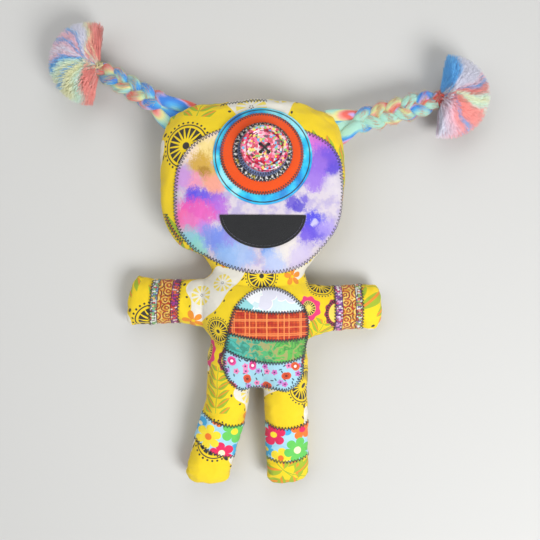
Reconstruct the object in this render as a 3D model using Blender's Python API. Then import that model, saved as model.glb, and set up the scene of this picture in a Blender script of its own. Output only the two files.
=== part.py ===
"""A stuffed cotton rag doll with one big eye, lying on its back.

Metres, +Z up. The origin is the middle of the flat of the torso's back, +Y runs to the top of
the head, and left and right are the viewer's, looking down at the doll's face.
"""

import math

import bmesh
import bpy
import numpy as np
from mathutils import Matrix, Vector
from mathutils.bvhtree import BVHTree

# Cloth and the clearances between neighbouring pieces.
COVER_WALL = 0.0007
FELT_WALL = 0.0010
PATCH_WALL = 0.0005
RUNNING_GAP = 0.0003
MERGE_WITHIN = 0.000001
SHARP_ANGLE = math.radians(40.0)

# How the stuffing swells each length: the front stands higher over the side seam than the back.
FRONT_SWELL_SHARE = 1.10
BACK_SWELL_SHARE = 0.95
SIDE_POWER = 2.3

# Height of the side seam over the table at each place.
TORSO_SEAM_HEIGHT = 0.0200
HEAD_SEAM_HEIGHT = 0.0260
HAND_SEAM_HEIGHT = 0.0122
FOOT_SEAM_HEIGHT = 0.0130

# Torso.
TORSO_WIDTH = 0.0824
TORSO_LENGTH = 0.0900
TORSO_MIDDLE_X = -0.0012
HIP_LINE_Y = -0.0400
TORSO_CROWN = 0.0260
TORSO_TIP_POWER = 2.0
SHOULDER_OUT = 0.0420
RIGHT_SHOULDER_DROP = 0.0035
NECK_DIP = 0.0045
CROTCH_WIDTH = 0.0100
SHOULDER_ROW_SHARE = 0.5
LEFT_WAIST_SHARES = ((0.0, 0.0), (0.35, 0.010), (0.64, 0.018), (0.82, 0.050))
RIGHT_WAIST_SHARES = ((0.0, 0.0), (0.30, -0.014), (0.62, -0.012), (0.86, 0.004))

# Half thickness of the stuffed lengths where they leave the torso.
ARM_ROOT_HALF = 0.0120
LEG_ROOT_HALF = 0.0130
NECK_HALF = 0.0175

# Lengths of cover and stuffing that fold when the doll is bent.
NECK_FOLD = 0.0083
SHOULDER_FOLD = 0.0165
HIP_FOLD = 0.0165

# Head.
HEAD_WIDTH = 0.1485
HEAD_LENGTH = 0.1372
HEAD_MIDDLE_X = -0.0042
HEAD_CROWN = 0.0330
HEAD_TIP_POWER = 3.5
HEAD_SEAM_EASE_SHARE = 0.45
HEAD_LEFT_SHARES = ((-0.222, 0.0), (-0.266, 0.078), (-0.395, 0.152), (-0.464, 0.262), (-0.493, 0.385),
                    (-0.500, 0.560), (-0.493, 0.745), (-0.442, 0.897))
HEAD_RIGHT_SHARES = ((0.284, 0.0), (0.368, 0.110), (0.452, 0.250), (0.494, 0.450),
                     (0.500, 0.610), (0.476, 0.800), (0.436, 0.897))
HEAD_TIP_SHARES = ((-0.442, 0.897), (-0.345, 0.950), (-0.160, 0.982), (0.109, 1.0),
                   (0.311, 0.956), (0.436, 0.897))

# Arms: each point is a share of the arm's length out from the shoulder and of its width up.
LEFT_ARM_LENGTH = 0.0640
LEFT_ARM_WIDTH = 0.0410
RIGHT_ARM_LENGTH = 0.0603
RIGHT_ARM_WIDTH = 0.0460
ARM_CROWN = 0.0115
LEFT_ARM_LOW_SHARES = ((0.0, 0.0), (0.20, 0.061), (0.40, 0.093), (0.71, 0.054), (0.955, 0.038))
LEFT_ARM_HIGH_SHARES = ((0.0, 1.0), (0.20, 0.985), (0.35, 0.971), (0.63, 0.990), (0.85, 1.060))
LEFT_HAND_SHARES = ((0.955, 0.038), (0.995, 0.130), (1.0, 0.366), (0.967, 0.707), (0.905, 0.950),
                    (0.85, 1.060))
RIGHT_ARM_LOW_SHARES = ((0.0, 0.0), (0.133, 0.059), (0.381, 0.130), (0.676, 0.165), (0.890, 0.135))
RIGHT_ARM_HIGH_SHARES = ((0.0, 1.0), (0.133, 0.968), (0.343, 0.950), (0.724, 0.972), (0.921, 0.956))
RIGHT_HAND_SHARES = ((0.890, 0.135), (0.962, 0.250), (1.0, 0.483), (0.995, 0.680), (0.971, 0.853),
                     (0.921, 0.956))

# Legs: each point is a share of the leg's length down from the hip and of its width to the right.
LEG_LENGTH = 0.0772
LEG_CROWN = 0.0120
LEFT_LEG_OUTER_SHARES = ((0.0, 0.0), (0.078, -0.003), (0.207, -0.088), (0.401, -0.215),
                         (0.628, -0.335), (0.780, -0.422), (0.881, -0.462))
LEFT_LEG_INNER_SHARES = ((0.0, 1.0), (0.078, 1.0), (0.298, 0.906), (0.531, 0.773), (0.726, 0.635),
                         (0.916, 0.545))
LEFT_FOOT_SHARES = ((0.916, 0.545), (0.962, 0.480), (1.0, 0.200), (1.0, -0.080), (0.985, -0.310),
                    (0.945, -0.420), (0.881, -0.462))
RIGHT_LEG_INNER_SHARES = ((0.0, 0.0), (0.078, 0.0), (0.273, 0.017), (0.531, 0.039), (0.757, 0.066),
                          (0.925, 0.088))
RIGHT_LEG_OUTER_SHARES = ((0.0, 1.0), (0.078, 1.015), (0.250, 1.033), (0.401, 1.020), (0.596, 1.012),
                          (0.760, 1.036), (0.880, 1.022))
RIGHT_FOOT_SHARES = ((0.880, 1.022), (0.950, 0.920), (0.995, 0.620), (1.0, 0.350), (0.985, 0.150),
                     (0.925, 0.088))
LIMB_TIP_POWER = 7.0
LIMB_SEAM_EASE_SHARE = 0.6

# Face panel of tie-dyed cotton, as shares of its width and length about its middle.
FACE_WIDTH = 0.1290
FACE_LENGTH = 0.1190
FACE_MIDDLE_X = 0.0005
FACE_MIDDLE_Y = 0.1150
FACE_OUTLINE_SHARES = ((0.508, 0.02), (0.494, 0.20), (0.422, 0.318), (0.270, 0.395), (0.03, 0.465),
                       (-0.220, 0.396), (-0.380, 0.309), (-0.470, 0.170), (-0.500, -0.02),
                       (-0.490, -0.20), (-0.420, -0.325), (-0.290, -0.420), (-0.130, -0.488),
                       (0.080, -0.510), (0.258, -0.470), (0.382, -0.360), (0.486, -0.182))

# Eye: discs of cloth and felt, one on the other, under a coat button.
EYE_ASIDE = 0.0035
EYE_ABOVE = 0.0270
RING_RADIUS = 0.0371
IRIS_RADIUS = 0.0307
IRIS_ASIDE = -0.0006
IRIS_ABOVE = 0.0012
PRINT_RADIUS = 0.0218
PRINT_ABOVE = 0.0019
PUPIL_RADIUS = 0.0185
BUTTON_RADIUS = 0.0181
BUTTON_ASIDE = 0.0013
BUTTON_ABOVE = 0.0031
BUTTON_THICKNESS = 0.0042
BUTTON_DISH_RADIUS = 0.0131
BUTTON_DISH_DEPTH = 0.0012
BUTTON_EDGE = 0.0012
HOLE_RADIUS = 0.0014
HOLE_OFFSET = 0.0029
THREAD_RADIUS = 0.0006
THREAD_ARCH = 0.0006
CUT_OVERRUN = 0.0020

# Mouth of black felt.
MOUTH_WIDTH = 0.0647
MOUTH_DEPTH = 0.0238
MOUTH_ASIDE = 0.0037
MOUTH_BELOW = 0.0172

# Belly: four strips of cotton side by side, as shares of the belly's width and length.
BELLY_WIDTH = 0.0640
BELLY_LENGTH = 0.0790
BELLY_MIDDLE_X = 0.0064
BELLY_LOW_Y = -0.0385
BELLY_LEFT_SHARES = ((-0.300, 0.000), (-0.420, 0.075), (-0.490, 0.180), (-0.515, 0.340), (-0.470, 0.530),
                     (-0.430, 0.690), (-0.365, 0.840), (-0.230, 0.955))
BELLY_RIGHT_SHARES = ((0.240, -0.005), (0.375, 0.060), (0.440, 0.160), (0.458, 0.300), (0.497, 0.450),
                      (0.518, 0.640), (0.475, 0.810), (0.330, 0.940))
BELLY_LEFT_CUT_SHARES = (0.0, 0.459, 0.609, 0.840, 1.0)
BELLY_RIGHT_CUT_SHARES = (0.0, 0.398, 0.577, 0.824, 1.0)
BELLY_SAG_SHARES = (0.028, -0.092, -0.045, -0.032, 0.080)
BELLY_NAMES = ("belly_ditsy_strip", "belly_batik_strip", "belly_check_strip", "belly_petal_strip")

# Ribbon cuffs and leg patches: where their two ends lie, as shares of the limb, on each seam.
LEFT_CUFF_SHARES = ((0.336, 0.716), (0.330, 0.740))
RIGHT_CUFF_SHARES = ((0.365, 0.751), (0.382, 0.800))
LEFT_PATCH_SHARES = ((0.374, 0.744), (0.235, 0.538))
RIGHT_PATCH_SHARES = ((0.364, 0.752), (0.353, 0.734))
PATCH_SAG_SHARE = 0.050
BAND_OVERRUN_SHARE = 0.25

# Pigtails: three hanks plaited flat, gathered at the seam, tied and brushed out at the end.
LEFT_BRAID_LENGTH = 0.0794
RIGHT_BRAID_LENGTH = 0.0909
LEFT_BRAID_HEADING = math.radians(149.0)
RIGHT_BRAID_HEADING = math.radians(15.6)
LEFT_ROOT_SHARE = 0.035
RIGHT_ROOT_SHARE = 0.935
LEFT_TAPER_SHARE = 0.80
RIGHT_TAPER_SHARE = 1.0
HANK_RADIUS = 0.0023
PLAIT_HALF_WIDTH = 0.0070
PLAIT_HALF_DEPTH = 0.0044
PLAIT_PITCH = 0.0370
PLAIT_CINCH_SHARE = 0.70
PLAIT_EASE_SHARE = 0.14
PLAIT_TIED_SHARE = 0.10
ROOT_LENGTH = 0.0155
ROOT_PINCH_SHARE = 0.35
TIE_HEIGHT = 0.0216
TIE_THREAD = 0.0010
TIE_TAIL = 0.0085
TIE_ROUND_SHARE = 1.0
TIE_POWER = 0.7
TASSEL_REACH = 0.0330
TASSEL_FLAT_SHARE = 0.66
LEFT_TASSEL_HEADING = math.radians(172.0)
RIGHT_TASSEL_HEADING = math.radians(-7.0)
TASSEL_SPREAD = math.radians(98.0)
TASSEL_LOCKS = 9
TASSEL_LOCK_SHARE = 0.05

# Subdivisions of the stuffed shapes and sheets.
LIMB_COLUMNS = 6
HEAD_COLUMNS = 12
HEAD_ROWS = 10
ARM_ROWS = 6
LEG_ROWS = 6
TORSO_ROWS = 4
FOLD_ROWS = 2
FACE_SECTORS = 28
EYE_SECTORS = 28
MOUTH_COLUMNS = 16
STRIP_COLUMNS = 7
BAND_ROWS = 3
BUTTON_SECTORS = 32
HOLE_SECTORS = 10
THREAD_SIDES = 6
THREAD_ARCH_POINTS = 5
POINTS_PER_PITCH = 10
ROOT_SECTORS = 12
TIE_POINTS = 16
TASSEL_SECTORS = 27
TASSEL_ROWS = 6
SEAM_POINTS = 400


def clear_scene():
    for item in list(bpy.data.objects):
        bpy.data.objects.remove(item)


def cloth(name, colour, roughness=0.85, metallic=0.0):
    """A plain Principled material."""
    material = bpy.data.materials.new(name)
    material.use_nodes = True
    shader = material.node_tree.nodes["Principled BSDF"]
    shader.inputs["Base Color"].default_value = (*colour, 1.0)
    shader.inputs["Roughness"].default_value = roughness
    shader.inputs["Metallic"].default_value = metallic
    material.diffuse_color = (*colour, 1.0)
    return material


def joint_empty(name, place):
    """An empty on a joint's axis, which the pieces of the moving body are parented to."""
    empty = bpy.data.objects.new(name, None)
    empty.location = place
    bpy.context.scene.collection.objects.link(empty)
    bpy.context.view_layer.update()
    return empty


def place_in(item, material, body):
    """Gives a new object its material and its body's empty."""
    if material is not None:
        item.data.materials.append(material)
    if item.name not in bpy.context.scene.collection.objects:
        bpy.context.scene.collection.objects.link(item)
    if body is not None:
        item.parent = body
        item.matrix_parent_inverse = body.matrix_world.inverted()
    return item


def solid(name, points, faces, material, body):
    """One closed piece from points and faces, merged, facing out and shaded smooth."""
    mesh = bpy.data.meshes.new(name)
    mesh.from_pydata([tuple(p) for p in points], [], faces)
    shape = bmesh.new()
    shape.from_mesh(mesh)
    bmesh.ops.remove_doubles(shape, verts=shape.verts, dist=MERGE_WITHIN)
    bmesh.ops.recalc_face_normals(shape, faces=shape.faces)
    shape.to_mesh(mesh)
    shape.free()
    mesh.shade_smooth()
    mesh.set_sharp_from_angle(angle=SHARP_ANGLE)
    return place_in(bpy.data.objects.new(name, mesh), material, body)


def smooth_curve(points, at):
    """Points of a Catmull-Rom curve through the given points, at shares of its chord length."""
    points = np.asarray(points, float)
    steps = np.linalg.norm(np.diff(points, axis=0), axis=1)
    knots = np.concatenate([[0.0], np.cumsum(steps)]) / steps.sum()
    slopes = np.gradient(points, knots, axis=0)
    at = np.clip(np.asarray(at, float), 0.0, 1.0)
    cell = np.clip(np.searchsorted(knots, at, side="right") - 1, 0, len(knots) - 2)
    span = (knots[cell + 1] - knots[cell])[..., None]
    t = (at - knots[cell])[..., None] / span
    start, end = points[cell], points[cell + 1]
    leave, arrive = slopes[cell] * span, slopes[cell + 1] * span
    return (start * (2 * t**3 - 3 * t**2 + 1) + leave * (t**3 - 2 * t**2 + t)
            + end * (3 * t**2 - 2 * t**3) + arrive * (t**3 - t**2))


def round_shares(cells):
    """Shares from 0 to 1, closer together towards both ends, as round sides need."""
    return (1.0 - np.cos(np.linspace(0.0, math.pi, cells + 1))) / 2.0


def tip_shares(cells):
    """Shares from 0 to 1, closer together towards the far end."""
    return np.sin(np.linspace(0.0, math.pi / 2.0, cells + 1))


def ease(share):
    share = np.clip(share, 0.0, 1.0)
    return share * share * (3.0 - 2.0 * share)


def lens(share, half):
    """Square of the half thickness across an open end: an ellipse from side seam to side seam."""
    return half * half * np.clip(1.0 - (2.0 * np.asarray(share) - 1.0) ** 2, 0.0, None)


def with_loft(points, loft):
    return np.concatenate([points, np.broadcast_to(loft, points.shape[:-1])[..., None]], axis=-1)


class StuffedLength:
    """Two cotton panels sewn edge to edge and stuffed, over a four-sided outline.

    across runs from the left edge to the right one and along from the base edge to the tip edge,
    both from 0 to 1. Every edge is a function that gives x, y and the square of the half
    thickness there, which is zero along a sewn edge. The inside of the outline is a Coons patch
    of the four edges, and the crown adds the swelling in its middle.
    """

    def __init__(self, left, right, base, tip, crown, tip_power, seam_heights, seam_ease_share):
        self.left, self.right, self.base, self.tip = left, right, base, tip
        self.crown, self.tip_power = crown, tip_power
        self.seam_heights, self.seam_ease_share = seam_heights, seam_ease_share

    def plan(self, across, along):
        """x, y and half thickness on a grid of shares."""
        a, b = np.asarray(across)[None, :, None], np.asarray(along)[:, None, None]
        left, right = self.left(along)[:, None], self.right(along)[:, None]
        base, tip = self.base(across)[None], self.tip(across)[None]
        ends = np.array([0.0, 1.0])
        low, high = self.base(ends), self.tip(ends)
        corners = ((1 - a) * (1 - b) * low[0] + a * (1 - b) * low[1]
                   + (1 - a) * b * high[0] + a * b * high[1])
        grid = (1 - a) * left + a * right + (1 - b) * base + b * tip - corners
        side = 1.0 - np.abs(2.0 * a[..., 0] - 1.0) ** SIDE_POWER
        length = (1.0 - (1.0 - b[..., 0]) ** 2) * (1.0 - b[..., 0] ** self.tip_power)
        loft = np.clip(grid[..., 2] + self.crown**2 * side * length, 0.0, None)
        return grid[..., :2], np.sqrt(loft)

    def seam(self, across, along):
        low, high = self.seam_heights
        rise = ease(np.asarray(along)[:, None] / self.seam_ease_share)
        return low + (high - low) * rise * np.ones((1, len(across)))

    def front(self, across, along):
        """The front panel's outer face."""
        flat, half = self.plan(across, along)
        height = self.seam(across, along) + RUNNING_GAP / 2 + FRONT_SWELL_SHARE * half
        return np.concatenate([flat, height[..., None]], axis=-1)

    def back(self, across, along):
        """The back panel's outer face, pressed flat where it lies on the table."""
        flat, half = self.plan(across, along)
        height = self.seam(across, along) - RUNNING_GAP / 2 - BACK_SWELL_SHARE * half
        return np.concatenate([flat, np.maximum(height, 0.0)[..., None]], axis=-1)


def turned(tangent, sign):
    """Level direction square to a tangent: to its left for +1, to its right for -1."""
    level = np.stack([-sign * tangent[..., 1], sign * tangent[..., 0], 0.0 * tangent[..., 0]], -1)
    return level / np.linalg.norm(level, axis=-1, keepdims=True)


def outward(grid, open_runs, facing):
    """Outward directions at the points of a panel.

    Along a sewn edge they are level, so that the panel's rim is flat. Along an open edge they
    stay in the cut. open_runs gives for each edge the index ranges that are open.
    """
    across, along = np.gradient(grid, axis=1), np.gradient(grid, axis=0)
    normals = np.cross(across, along) * facing
    normals /= np.linalg.norm(normals, axis=-1, keepdims=True)
    surface = normals.copy()
    edges = {"left": (np.s_[:, 0], along, 1), "right": (np.s_[:, -1], along, -1),
             "base": (np.s_[0, :], across, -1), "tip": (np.s_[-1, :], across, 1)}
    sides = {}
    for name, (where, tangent, sign) in edges.items():
        sides[name] = turned(tangent[where], sign)
        normals[where] = sides[name]
    for name, runs in open_runs.items():
        where, tangent, _ = edges[name]
        for first, last in runs:
            inside = slice(first + 1, last)
            out, up = sides[name][inside], surface[where][inside]
            up = up - (up * out).sum(-1, keepdims=True) * out
            normals[where][inside] = up / np.linalg.norm(up, axis=-1, keepdims=True)
    ends = {}
    rows, columns = grid.shape[:2]
    for name, runs in open_runs.items():
        line = grid[edges[name][0]]
        for first, last in runs:
            for end, inner in ((first, first + 1), (last, last - 1)):
                way = (line[end] - line[inner]) * (1.0, 1.0, 0.0)
                key = {"left": (end, 0), "right": (end, columns - 1), "base": (0, end),
                       "tip": (rows - 1, end)}[name]
                ends[key] = ends.get(key, 0.0) + way / np.linalg.norm(way)
    for key, way in ends.items():
        normals[key] = way
    return normals


def grid_faces(rows, columns, start):
    """Triangles of a grid whose points are stored row by row from start.

    The diagonals lean to the far corners, so that a corner where two sewn edges meet isn't cut
    off by a triangle that lies in the seam.
    """
    faces = []
    for r in range(rows - 1):
        for c in range(columns - 1):
            a = start + r * columns + c
            b, across = a + 1, a + columns
            if 2 * c < columns - 1:
                faces += [(a, b, across), (b, across + 1, across)]
            else:
                faces += [(a, b, across + 1), (a, across + 1, across)]
    return faces


def rim(rows, columns):
    """Indices round the edge of such a grid."""
    last = (rows - 1) * columns
    return (list(range(columns)) + [r * columns + columns - 1 for r in range(1, rows)]
            + [last + c for c in range(columns - 2, -1, -1)]
            + [r * columns for r in range(rows - 2, 0, -1)])


def between(name, upper, lower, material, body):
    """The closed piece between two grids of the same size, joined round their rims."""
    rows, columns = upper.shape[:2]
    points = np.concatenate([upper.reshape(-1, 3), lower.reshape(-1, 3)])
    step = rows * columns
    loop = rim(rows, columns)
    walls = [(a, b, b + step, a + step) for a, b in zip(loop, loop[1:] + loop[:1])]
    faces = grid_faces(rows, columns, 0) + grid_faces(rows, columns, step) + walls
    return solid(name, points, faces, material, body)


def panels_and_filling(name, length, across, along, open_runs, materials, body):
    """Front cover, back cover and stuffing; gives the front cover's face and its directions."""
    cover, filling = materials
    faces = {"front": (length.front(across, along), 1.0), "back": (length.back(across, along), -1.0)}
    seam = length.seam(across, along)
    inner, ways = {}, {}
    for side, (outer, facing) in faces.items():
        way = outward(outer, open_runs, facing)
        lining = outer - COVER_WALL * way
        core = outer - (COVER_WALL + RUNNING_GAP) * way
        if side == "back":
            lining[..., 2] = np.maximum(lining[..., 2], COVER_WALL)
            core[..., 2] = np.maximum(core[..., 2], COVER_WALL + RUNNING_GAP)
        sewn_edge = np.abs(outer[..., 2] - seam) <= RUNNING_GAP
        core[..., 2] = np.where(sewn_edge, seam, core[..., 2])
        inner[side], ways[side] = core, way
        between(f"{name}_{side}_cover", outer, lining, cover, body)
    between(f"{name}_stuffing", inner["front"], inner["back"], filling, body)
    return faces["front"][0], ways["front"]


def fold(name, length, across, along, material, body):
    """The short stretch of cover and stuffing that folds at a joint, as one plain solid."""
    top, bottom = length.front(across, along), length.back(across, along)
    seam = length.seam(across, along)
    for face in (top, bottom):
        for edge in (0, -1):
            face[:, edge, 2] = seam[:, edge]
    bottom[..., 2] = np.maximum(bottom[..., 2], COVER_WALL)
    return between(name, top, bottom, material, body)


def straight(start, end):
    """An edge function's points along a straight line."""
    start, end = np.asarray(start, float), np.asarray(end, float)
    return lambda at: start + (end - start) * np.asarray(at)[:, None]


def sewn(points):
    """An edge function along a sewn outline."""
    return lambda at: with_loft(smooth_curve(points, at), 0.0)


def opened(line, half):
    """An edge function along a straight open end, an ellipse in section."""
    return lambda at: with_loft(line(at), lens(at, half))


TORSO_LEFT_X = TORSO_MIDDLE_X - TORSO_WIDTH / 2
TORSO_RIGHT_X = TORSO_MIDDLE_X + TORSO_WIDTH / 2
LEFT_LEG_IN_X = TORSO_MIDDLE_X - CROTCH_WIDTH / 2
RIGHT_LEG_IN_X = TORSO_MIDDLE_X + CROTCH_WIDTH / 2
LEG_WIDTH = LEFT_LEG_IN_X - TORSO_LEFT_X
LEFT_SHOULDER_X = TORSO_MIDDLE_X - SHOULDER_OUT
RIGHT_SHOULDER_X = TORSO_MIDDLE_X + SHOULDER_OUT
LEFT_SHOULDER_HIGH = HIP_LINE_Y + TORSO_LENGTH
LEFT_SHOULDER_LOW = LEFT_SHOULDER_HIGH - LEFT_ARM_WIDTH
RIGHT_SHOULDER_HIGH = LEFT_SHOULDER_HIGH - RIGHT_SHOULDER_DROP
RIGHT_SHOULDER_LOW = RIGHT_SHOULDER_HIGH - RIGHT_ARM_WIDTH
NECK_LINE_Y = (LEFT_SHOULDER_HIGH + RIGHT_SHOULDER_HIGH) / 2
HEAD_BASE_Y = NECK_LINE_Y + NECK_FOLD - RIGHT_SHOULDER_DROP / 2
CUTTER_HEIGHT = HEAD_WIDTH
EYE_X = FACE_MIDDLE_X + EYE_ASIDE
EYE_Y = FACE_MIDDLE_Y + EYE_ABOVE
MOUTH_X = FACE_MIDDLE_X + MOUTH_ASIDE
MOUTH_TOP_Y = FACE_MIDDLE_Y - MOUTH_BELOW


def shoulder_side(low_points, low, high, shoulder_x):
    """A torso side: sewn up to the armpit, then open where the arm leaves it."""
    def edge(at):
        at = np.asarray(at, float)
        side = smooth_curve(low_points, at / SHOULDER_ROW_SHARE)
        share = (at - SHOULDER_ROW_SHARE) / (1.0 - SHOULDER_ROW_SHARE)
        root = straight((shoulder_x, low), (shoulder_x, high))(np.clip(share, 0.0, 1.0))
        above = at > SHOULDER_ROW_SHARE
        plan = np.where(above[:, None], root, side)
        return with_loft(plan, np.where(above, lens(share, ARM_ROOT_HALF), 0.0))
    return edge


def hip_edge(at):
    """The torso's base: a leg each side and the crotch seam between them."""
    x = TORSO_LEFT_X + TORSO_WIDTH * np.asarray(at, float)
    left = (x - TORSO_LEFT_X) / LEG_WIDTH
    right = (x - RIGHT_LEG_IN_X) / LEG_WIDTH
    loft = np.where(x < TORSO_MIDDLE_X, lens(left, LEG_ROOT_HALF), lens(right, LEG_ROOT_HALF))
    return np.stack([x, np.full_like(x, HIP_LINE_Y), loft], axis=-1)


def neck_edge(at):
    """The torso's tip: open to the neck and dipping between the shoulders."""
    at = np.asarray(at, float)
    line = straight((LEFT_SHOULDER_X, LEFT_SHOULDER_HIGH), (RIGHT_SHOULDER_X, RIGHT_SHOULDER_HIGH))(at)
    line[:, 1] -= NECK_DIP * 4.0 * at * (1.0 - at)
    return with_loft(line, lens(at, NECK_HALF))


def waist(side_x, inward, shares, armpit):
    """Sewn side of the torso from the hip to the armpit, drawn in under the arm."""
    rise = armpit[1] - HIP_LINE_Y
    points = [(side_x + inward * pull * TORSO_WIDTH, HIP_LINE_Y + up * rise) for up, pull in shares]
    return points + [armpit]


def torso_shape():
    left_armpit = (LEFT_SHOULDER_X, LEFT_SHOULDER_LOW)
    right_armpit = (RIGHT_SHOULDER_X, RIGHT_SHOULDER_LOW)
    left = shoulder_side(waist(TORSO_LEFT_X, 1, LEFT_WAIST_SHARES, left_armpit), LEFT_SHOULDER_LOW,
                         LEFT_SHOULDER_HIGH, LEFT_SHOULDER_X)
    right = shoulder_side(waist(TORSO_RIGHT_X, -1, RIGHT_WAIST_SHARES, right_armpit), RIGHT_SHOULDER_LOW,
                          RIGHT_SHOULDER_HIGH, RIGHT_SHOULDER_X)
    return StuffedLength(left, right, hip_edge, neck_edge, TORSO_CROWN, TORSO_TIP_POWER,
                         (TORSO_SEAM_HEIGHT, TORSO_SEAM_HEIGHT), 1.0)


def outline(shares, origin, out, up):
    """Outline points from pairs of shares, the first along out and the second along up."""
    return [(origin[0] + s * out[0] + t * up[0], origin[1] + s * out[1] + t * up[1]) for s, t in shares]


def head_shape():
    place = ((HEAD_MIDDLE_X, HEAD_BASE_Y), (HEAD_WIDTH, 0.0), (0.0, HEAD_LENGTH))
    left, right = outline(HEAD_LEFT_SHARES, *place), outline(HEAD_RIGHT_SHARES, *place)
    base = opened(straight(left[0], right[0]), NECK_HALF)
    return StuffedLength(sewn(left), sewn(right), base, sewn(outline(HEAD_TIP_SHARES, *place)), HEAD_CROWN,
                         HEAD_TIP_POWER, (TORSO_SEAM_HEIGHT, HEAD_SEAM_HEIGHT), HEAD_SEAM_EASE_SHARE)


def neck_shape(head):
    """The short neck between the torso's open top and the head's open base."""
    ends = np.array([0.0, 1.0])
    low, high = neck_edge(ends), head.base(ends)
    return StuffedLength(opened(straight(low[0, :2], high[0, :2]), 0.0),
                         opened(straight(low[1, :2], high[1, :2]), 0.0), neck_edge, head.base, 0.0, 1.0,
                         (TORSO_SEAM_HEIGHT, TORSO_SEAM_HEIGHT), 1.0)


def limb_shape(first, second, tip, place, root_half, crown, tip_height):
    """An arm or a leg: its first edge lies to the left when seen from its root to its tip."""
    left, right = outline(first, *place), outline(second, *place)
    return StuffedLength(sewn(left), sewn(right), opened(straight(left[0], right[0]), root_half),
                         sewn(outline(tip, *place)), crown, LIMB_TIP_POWER,
                         (TORSO_SEAM_HEIGHT, tip_height), LIMB_SEAM_EASE_SHARE)


def body_empties(head):
    """The empties that the head, limbs and pigtails hang on, each on its joint's axis."""
    arm_y = {"left": (LEFT_SHOULDER_LOW + LEFT_SHOULDER_HIGH) / 2,
             "right": (RIGHT_SHOULDER_LOW + RIGHT_SHOULDER_HIGH) / 2}
    arm_x = {"left": LEFT_SHOULDER_X - SHOULDER_FOLD / 2, "right": RIGHT_SHOULDER_X + SHOULDER_FOLD / 2}
    leg_x = {"left": TORSO_LEFT_X + LEG_WIDTH / 2, "right": TORSO_RIGHT_X - LEG_WIDTH / 2}
    neck_y = (NECK_LINE_Y - NECK_DIP + HEAD_BASE_Y) / 2
    bodies = {"head": joint_empty("neck_axis", (TORSO_MIDDLE_X, neck_y, TORSO_SEAM_HEIGHT))}
    for side in ("left", "right"):
        shoulder = (arm_x[side], arm_y[side], TORSO_SEAM_HEIGHT)
        bodies[f"{side}_arm"] = joint_empty(f"{side}_shoulder_axis", shoulder)
        hip = (leg_x[side], HIP_LINE_Y - HIP_FOLD / 2, TORSO_SEAM_HEIGHT)
        bodies[f"{side}_leg"] = joint_empty(f"{side}_hip_axis", hip)
        bodies[f"{side}_braid"] = joint_empty(f"{side}_braid_axis", braid_root(head, side))
    return bodies


def braid_root(head, side):
    """Where a pigtail leaves the seam: the left one on top of the head, the right one at its side."""
    line, share = {"left": (head.tip, LEFT_ROOT_SHARE), "right": (head.right, RIGHT_ROOT_SHARE)}[side]
    x, y, _ = line(np.array([share]))[0]
    return x, y, HEAD_SEAM_HEIGHT


def stuffed_bodies(shapes, bodies, materials):
    """Covers, stuffing and folds of the torso, head and limbs; gives the front faces."""
    hip_share = LEG_WIDTH / TORSO_WIDTH
    leg_columns = LIMB_COLUMNS - 2
    hips = hip_share * round_shares(leg_columns)
    torso_across = np.concatenate([hips, [0.5], 1.0 - hips[::-1]])
    armpit_rows = np.linspace(0.0, SHOULDER_ROW_SHARE, TORSO_ROWS)
    shoulder_rows = SHOULDER_ROW_SHARE + (1.0 - SHOULDER_ROW_SHARE) * round_shares(TORSO_ROWS)
    torso_along = np.concatenate([armpit_rows, shoulder_rows[1:]])
    first, last = len(armpit_rows) - 1, len(torso_along) - 1
    columns = len(torso_across) - 1
    runs = {"left": [(first, last)], "right": [(first, last)], "tip": [(0, columns)],
            "base": [(0, leg_columns), (columns - leg_columns, columns)]}
    faces = {"torso": panels_and_filling("torso", shapes["torso"], torso_across, torso_along, runs,
                                         materials, None)}
    neck = neck_shape(shapes["head"])
    gap = RUNNING_GAP / NECK_FOLD
    neck_along = np.linspace(gap, 1.0 - gap, FOLD_ROWS + 1)
    fold("neck_fold", neck, round_shares(HEAD_COLUMNS), neck_along, materials[0], None)
    faces["head"] = panels_and_filling("head", shapes["head"], round_shares(HEAD_COLUMNS),
                                       tip_shares(HEAD_ROWS), {"base": [(0, HEAD_COLUMNS)]}, materials,
                                       bodies["head"])
    folds = {"left_arm": ("left_shoulder_fold", SHOULDER_FOLD, LEFT_ARM_LENGTH, ARM_ROWS),
             "right_arm": ("right_shoulder_fold", SHOULDER_FOLD, RIGHT_ARM_LENGTH, ARM_ROWS),
             "left_leg": ("left_hip_fold", HIP_FOLD, LEG_LENGTH, LEG_ROWS),
             "right_leg": ("right_hip_fold", HIP_FOLD, LEG_LENGTH, LEG_ROWS)}
    across = round_shares(LIMB_COLUMNS)
    for limb, (fold_name, fold_length, limb_length, rows) in folds.items():
        gap, end = RUNNING_GAP / limb_length, fold_length / limb_length
        fold_along = np.linspace(gap, end - gap, FOLD_ROWS + 1)
        fold(fold_name, shapes[limb], across, fold_along, materials[0], None)
        faces[limb] = panels_and_filling(limb, shapes[limb], across, end + (1.0 - end) * tip_shares(rows),
                                         {"base": [(0, LIMB_COLUMNS)]}, materials, bodies[limb])
    return faces


def closed_curve(points, count):
    """Evenly numbered points of a closed Catmull-Rom curve."""
    points = np.asarray(points, float)
    place = np.arange(count) * len(points) / count
    cell = place.astype(int)
    t = (place - cell)[:, None]
    before, start, end, after = (points[(cell + k) % len(points)] for k in (-1, 0, 1, 2))
    bend = 2 * before - 5 * start + 4 * end - after + t * (3 * (start - end) + after - before)
    return start + 0.5 * t * (end - before + t * bend)


def circle(x, y, radius, count):
    turn = np.linspace(0.0, 2.0 * math.pi, count, endpoint=False)
    return np.stack([x + radius * np.cos(turn), y + radius * np.sin(turn)], axis=-1)


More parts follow.
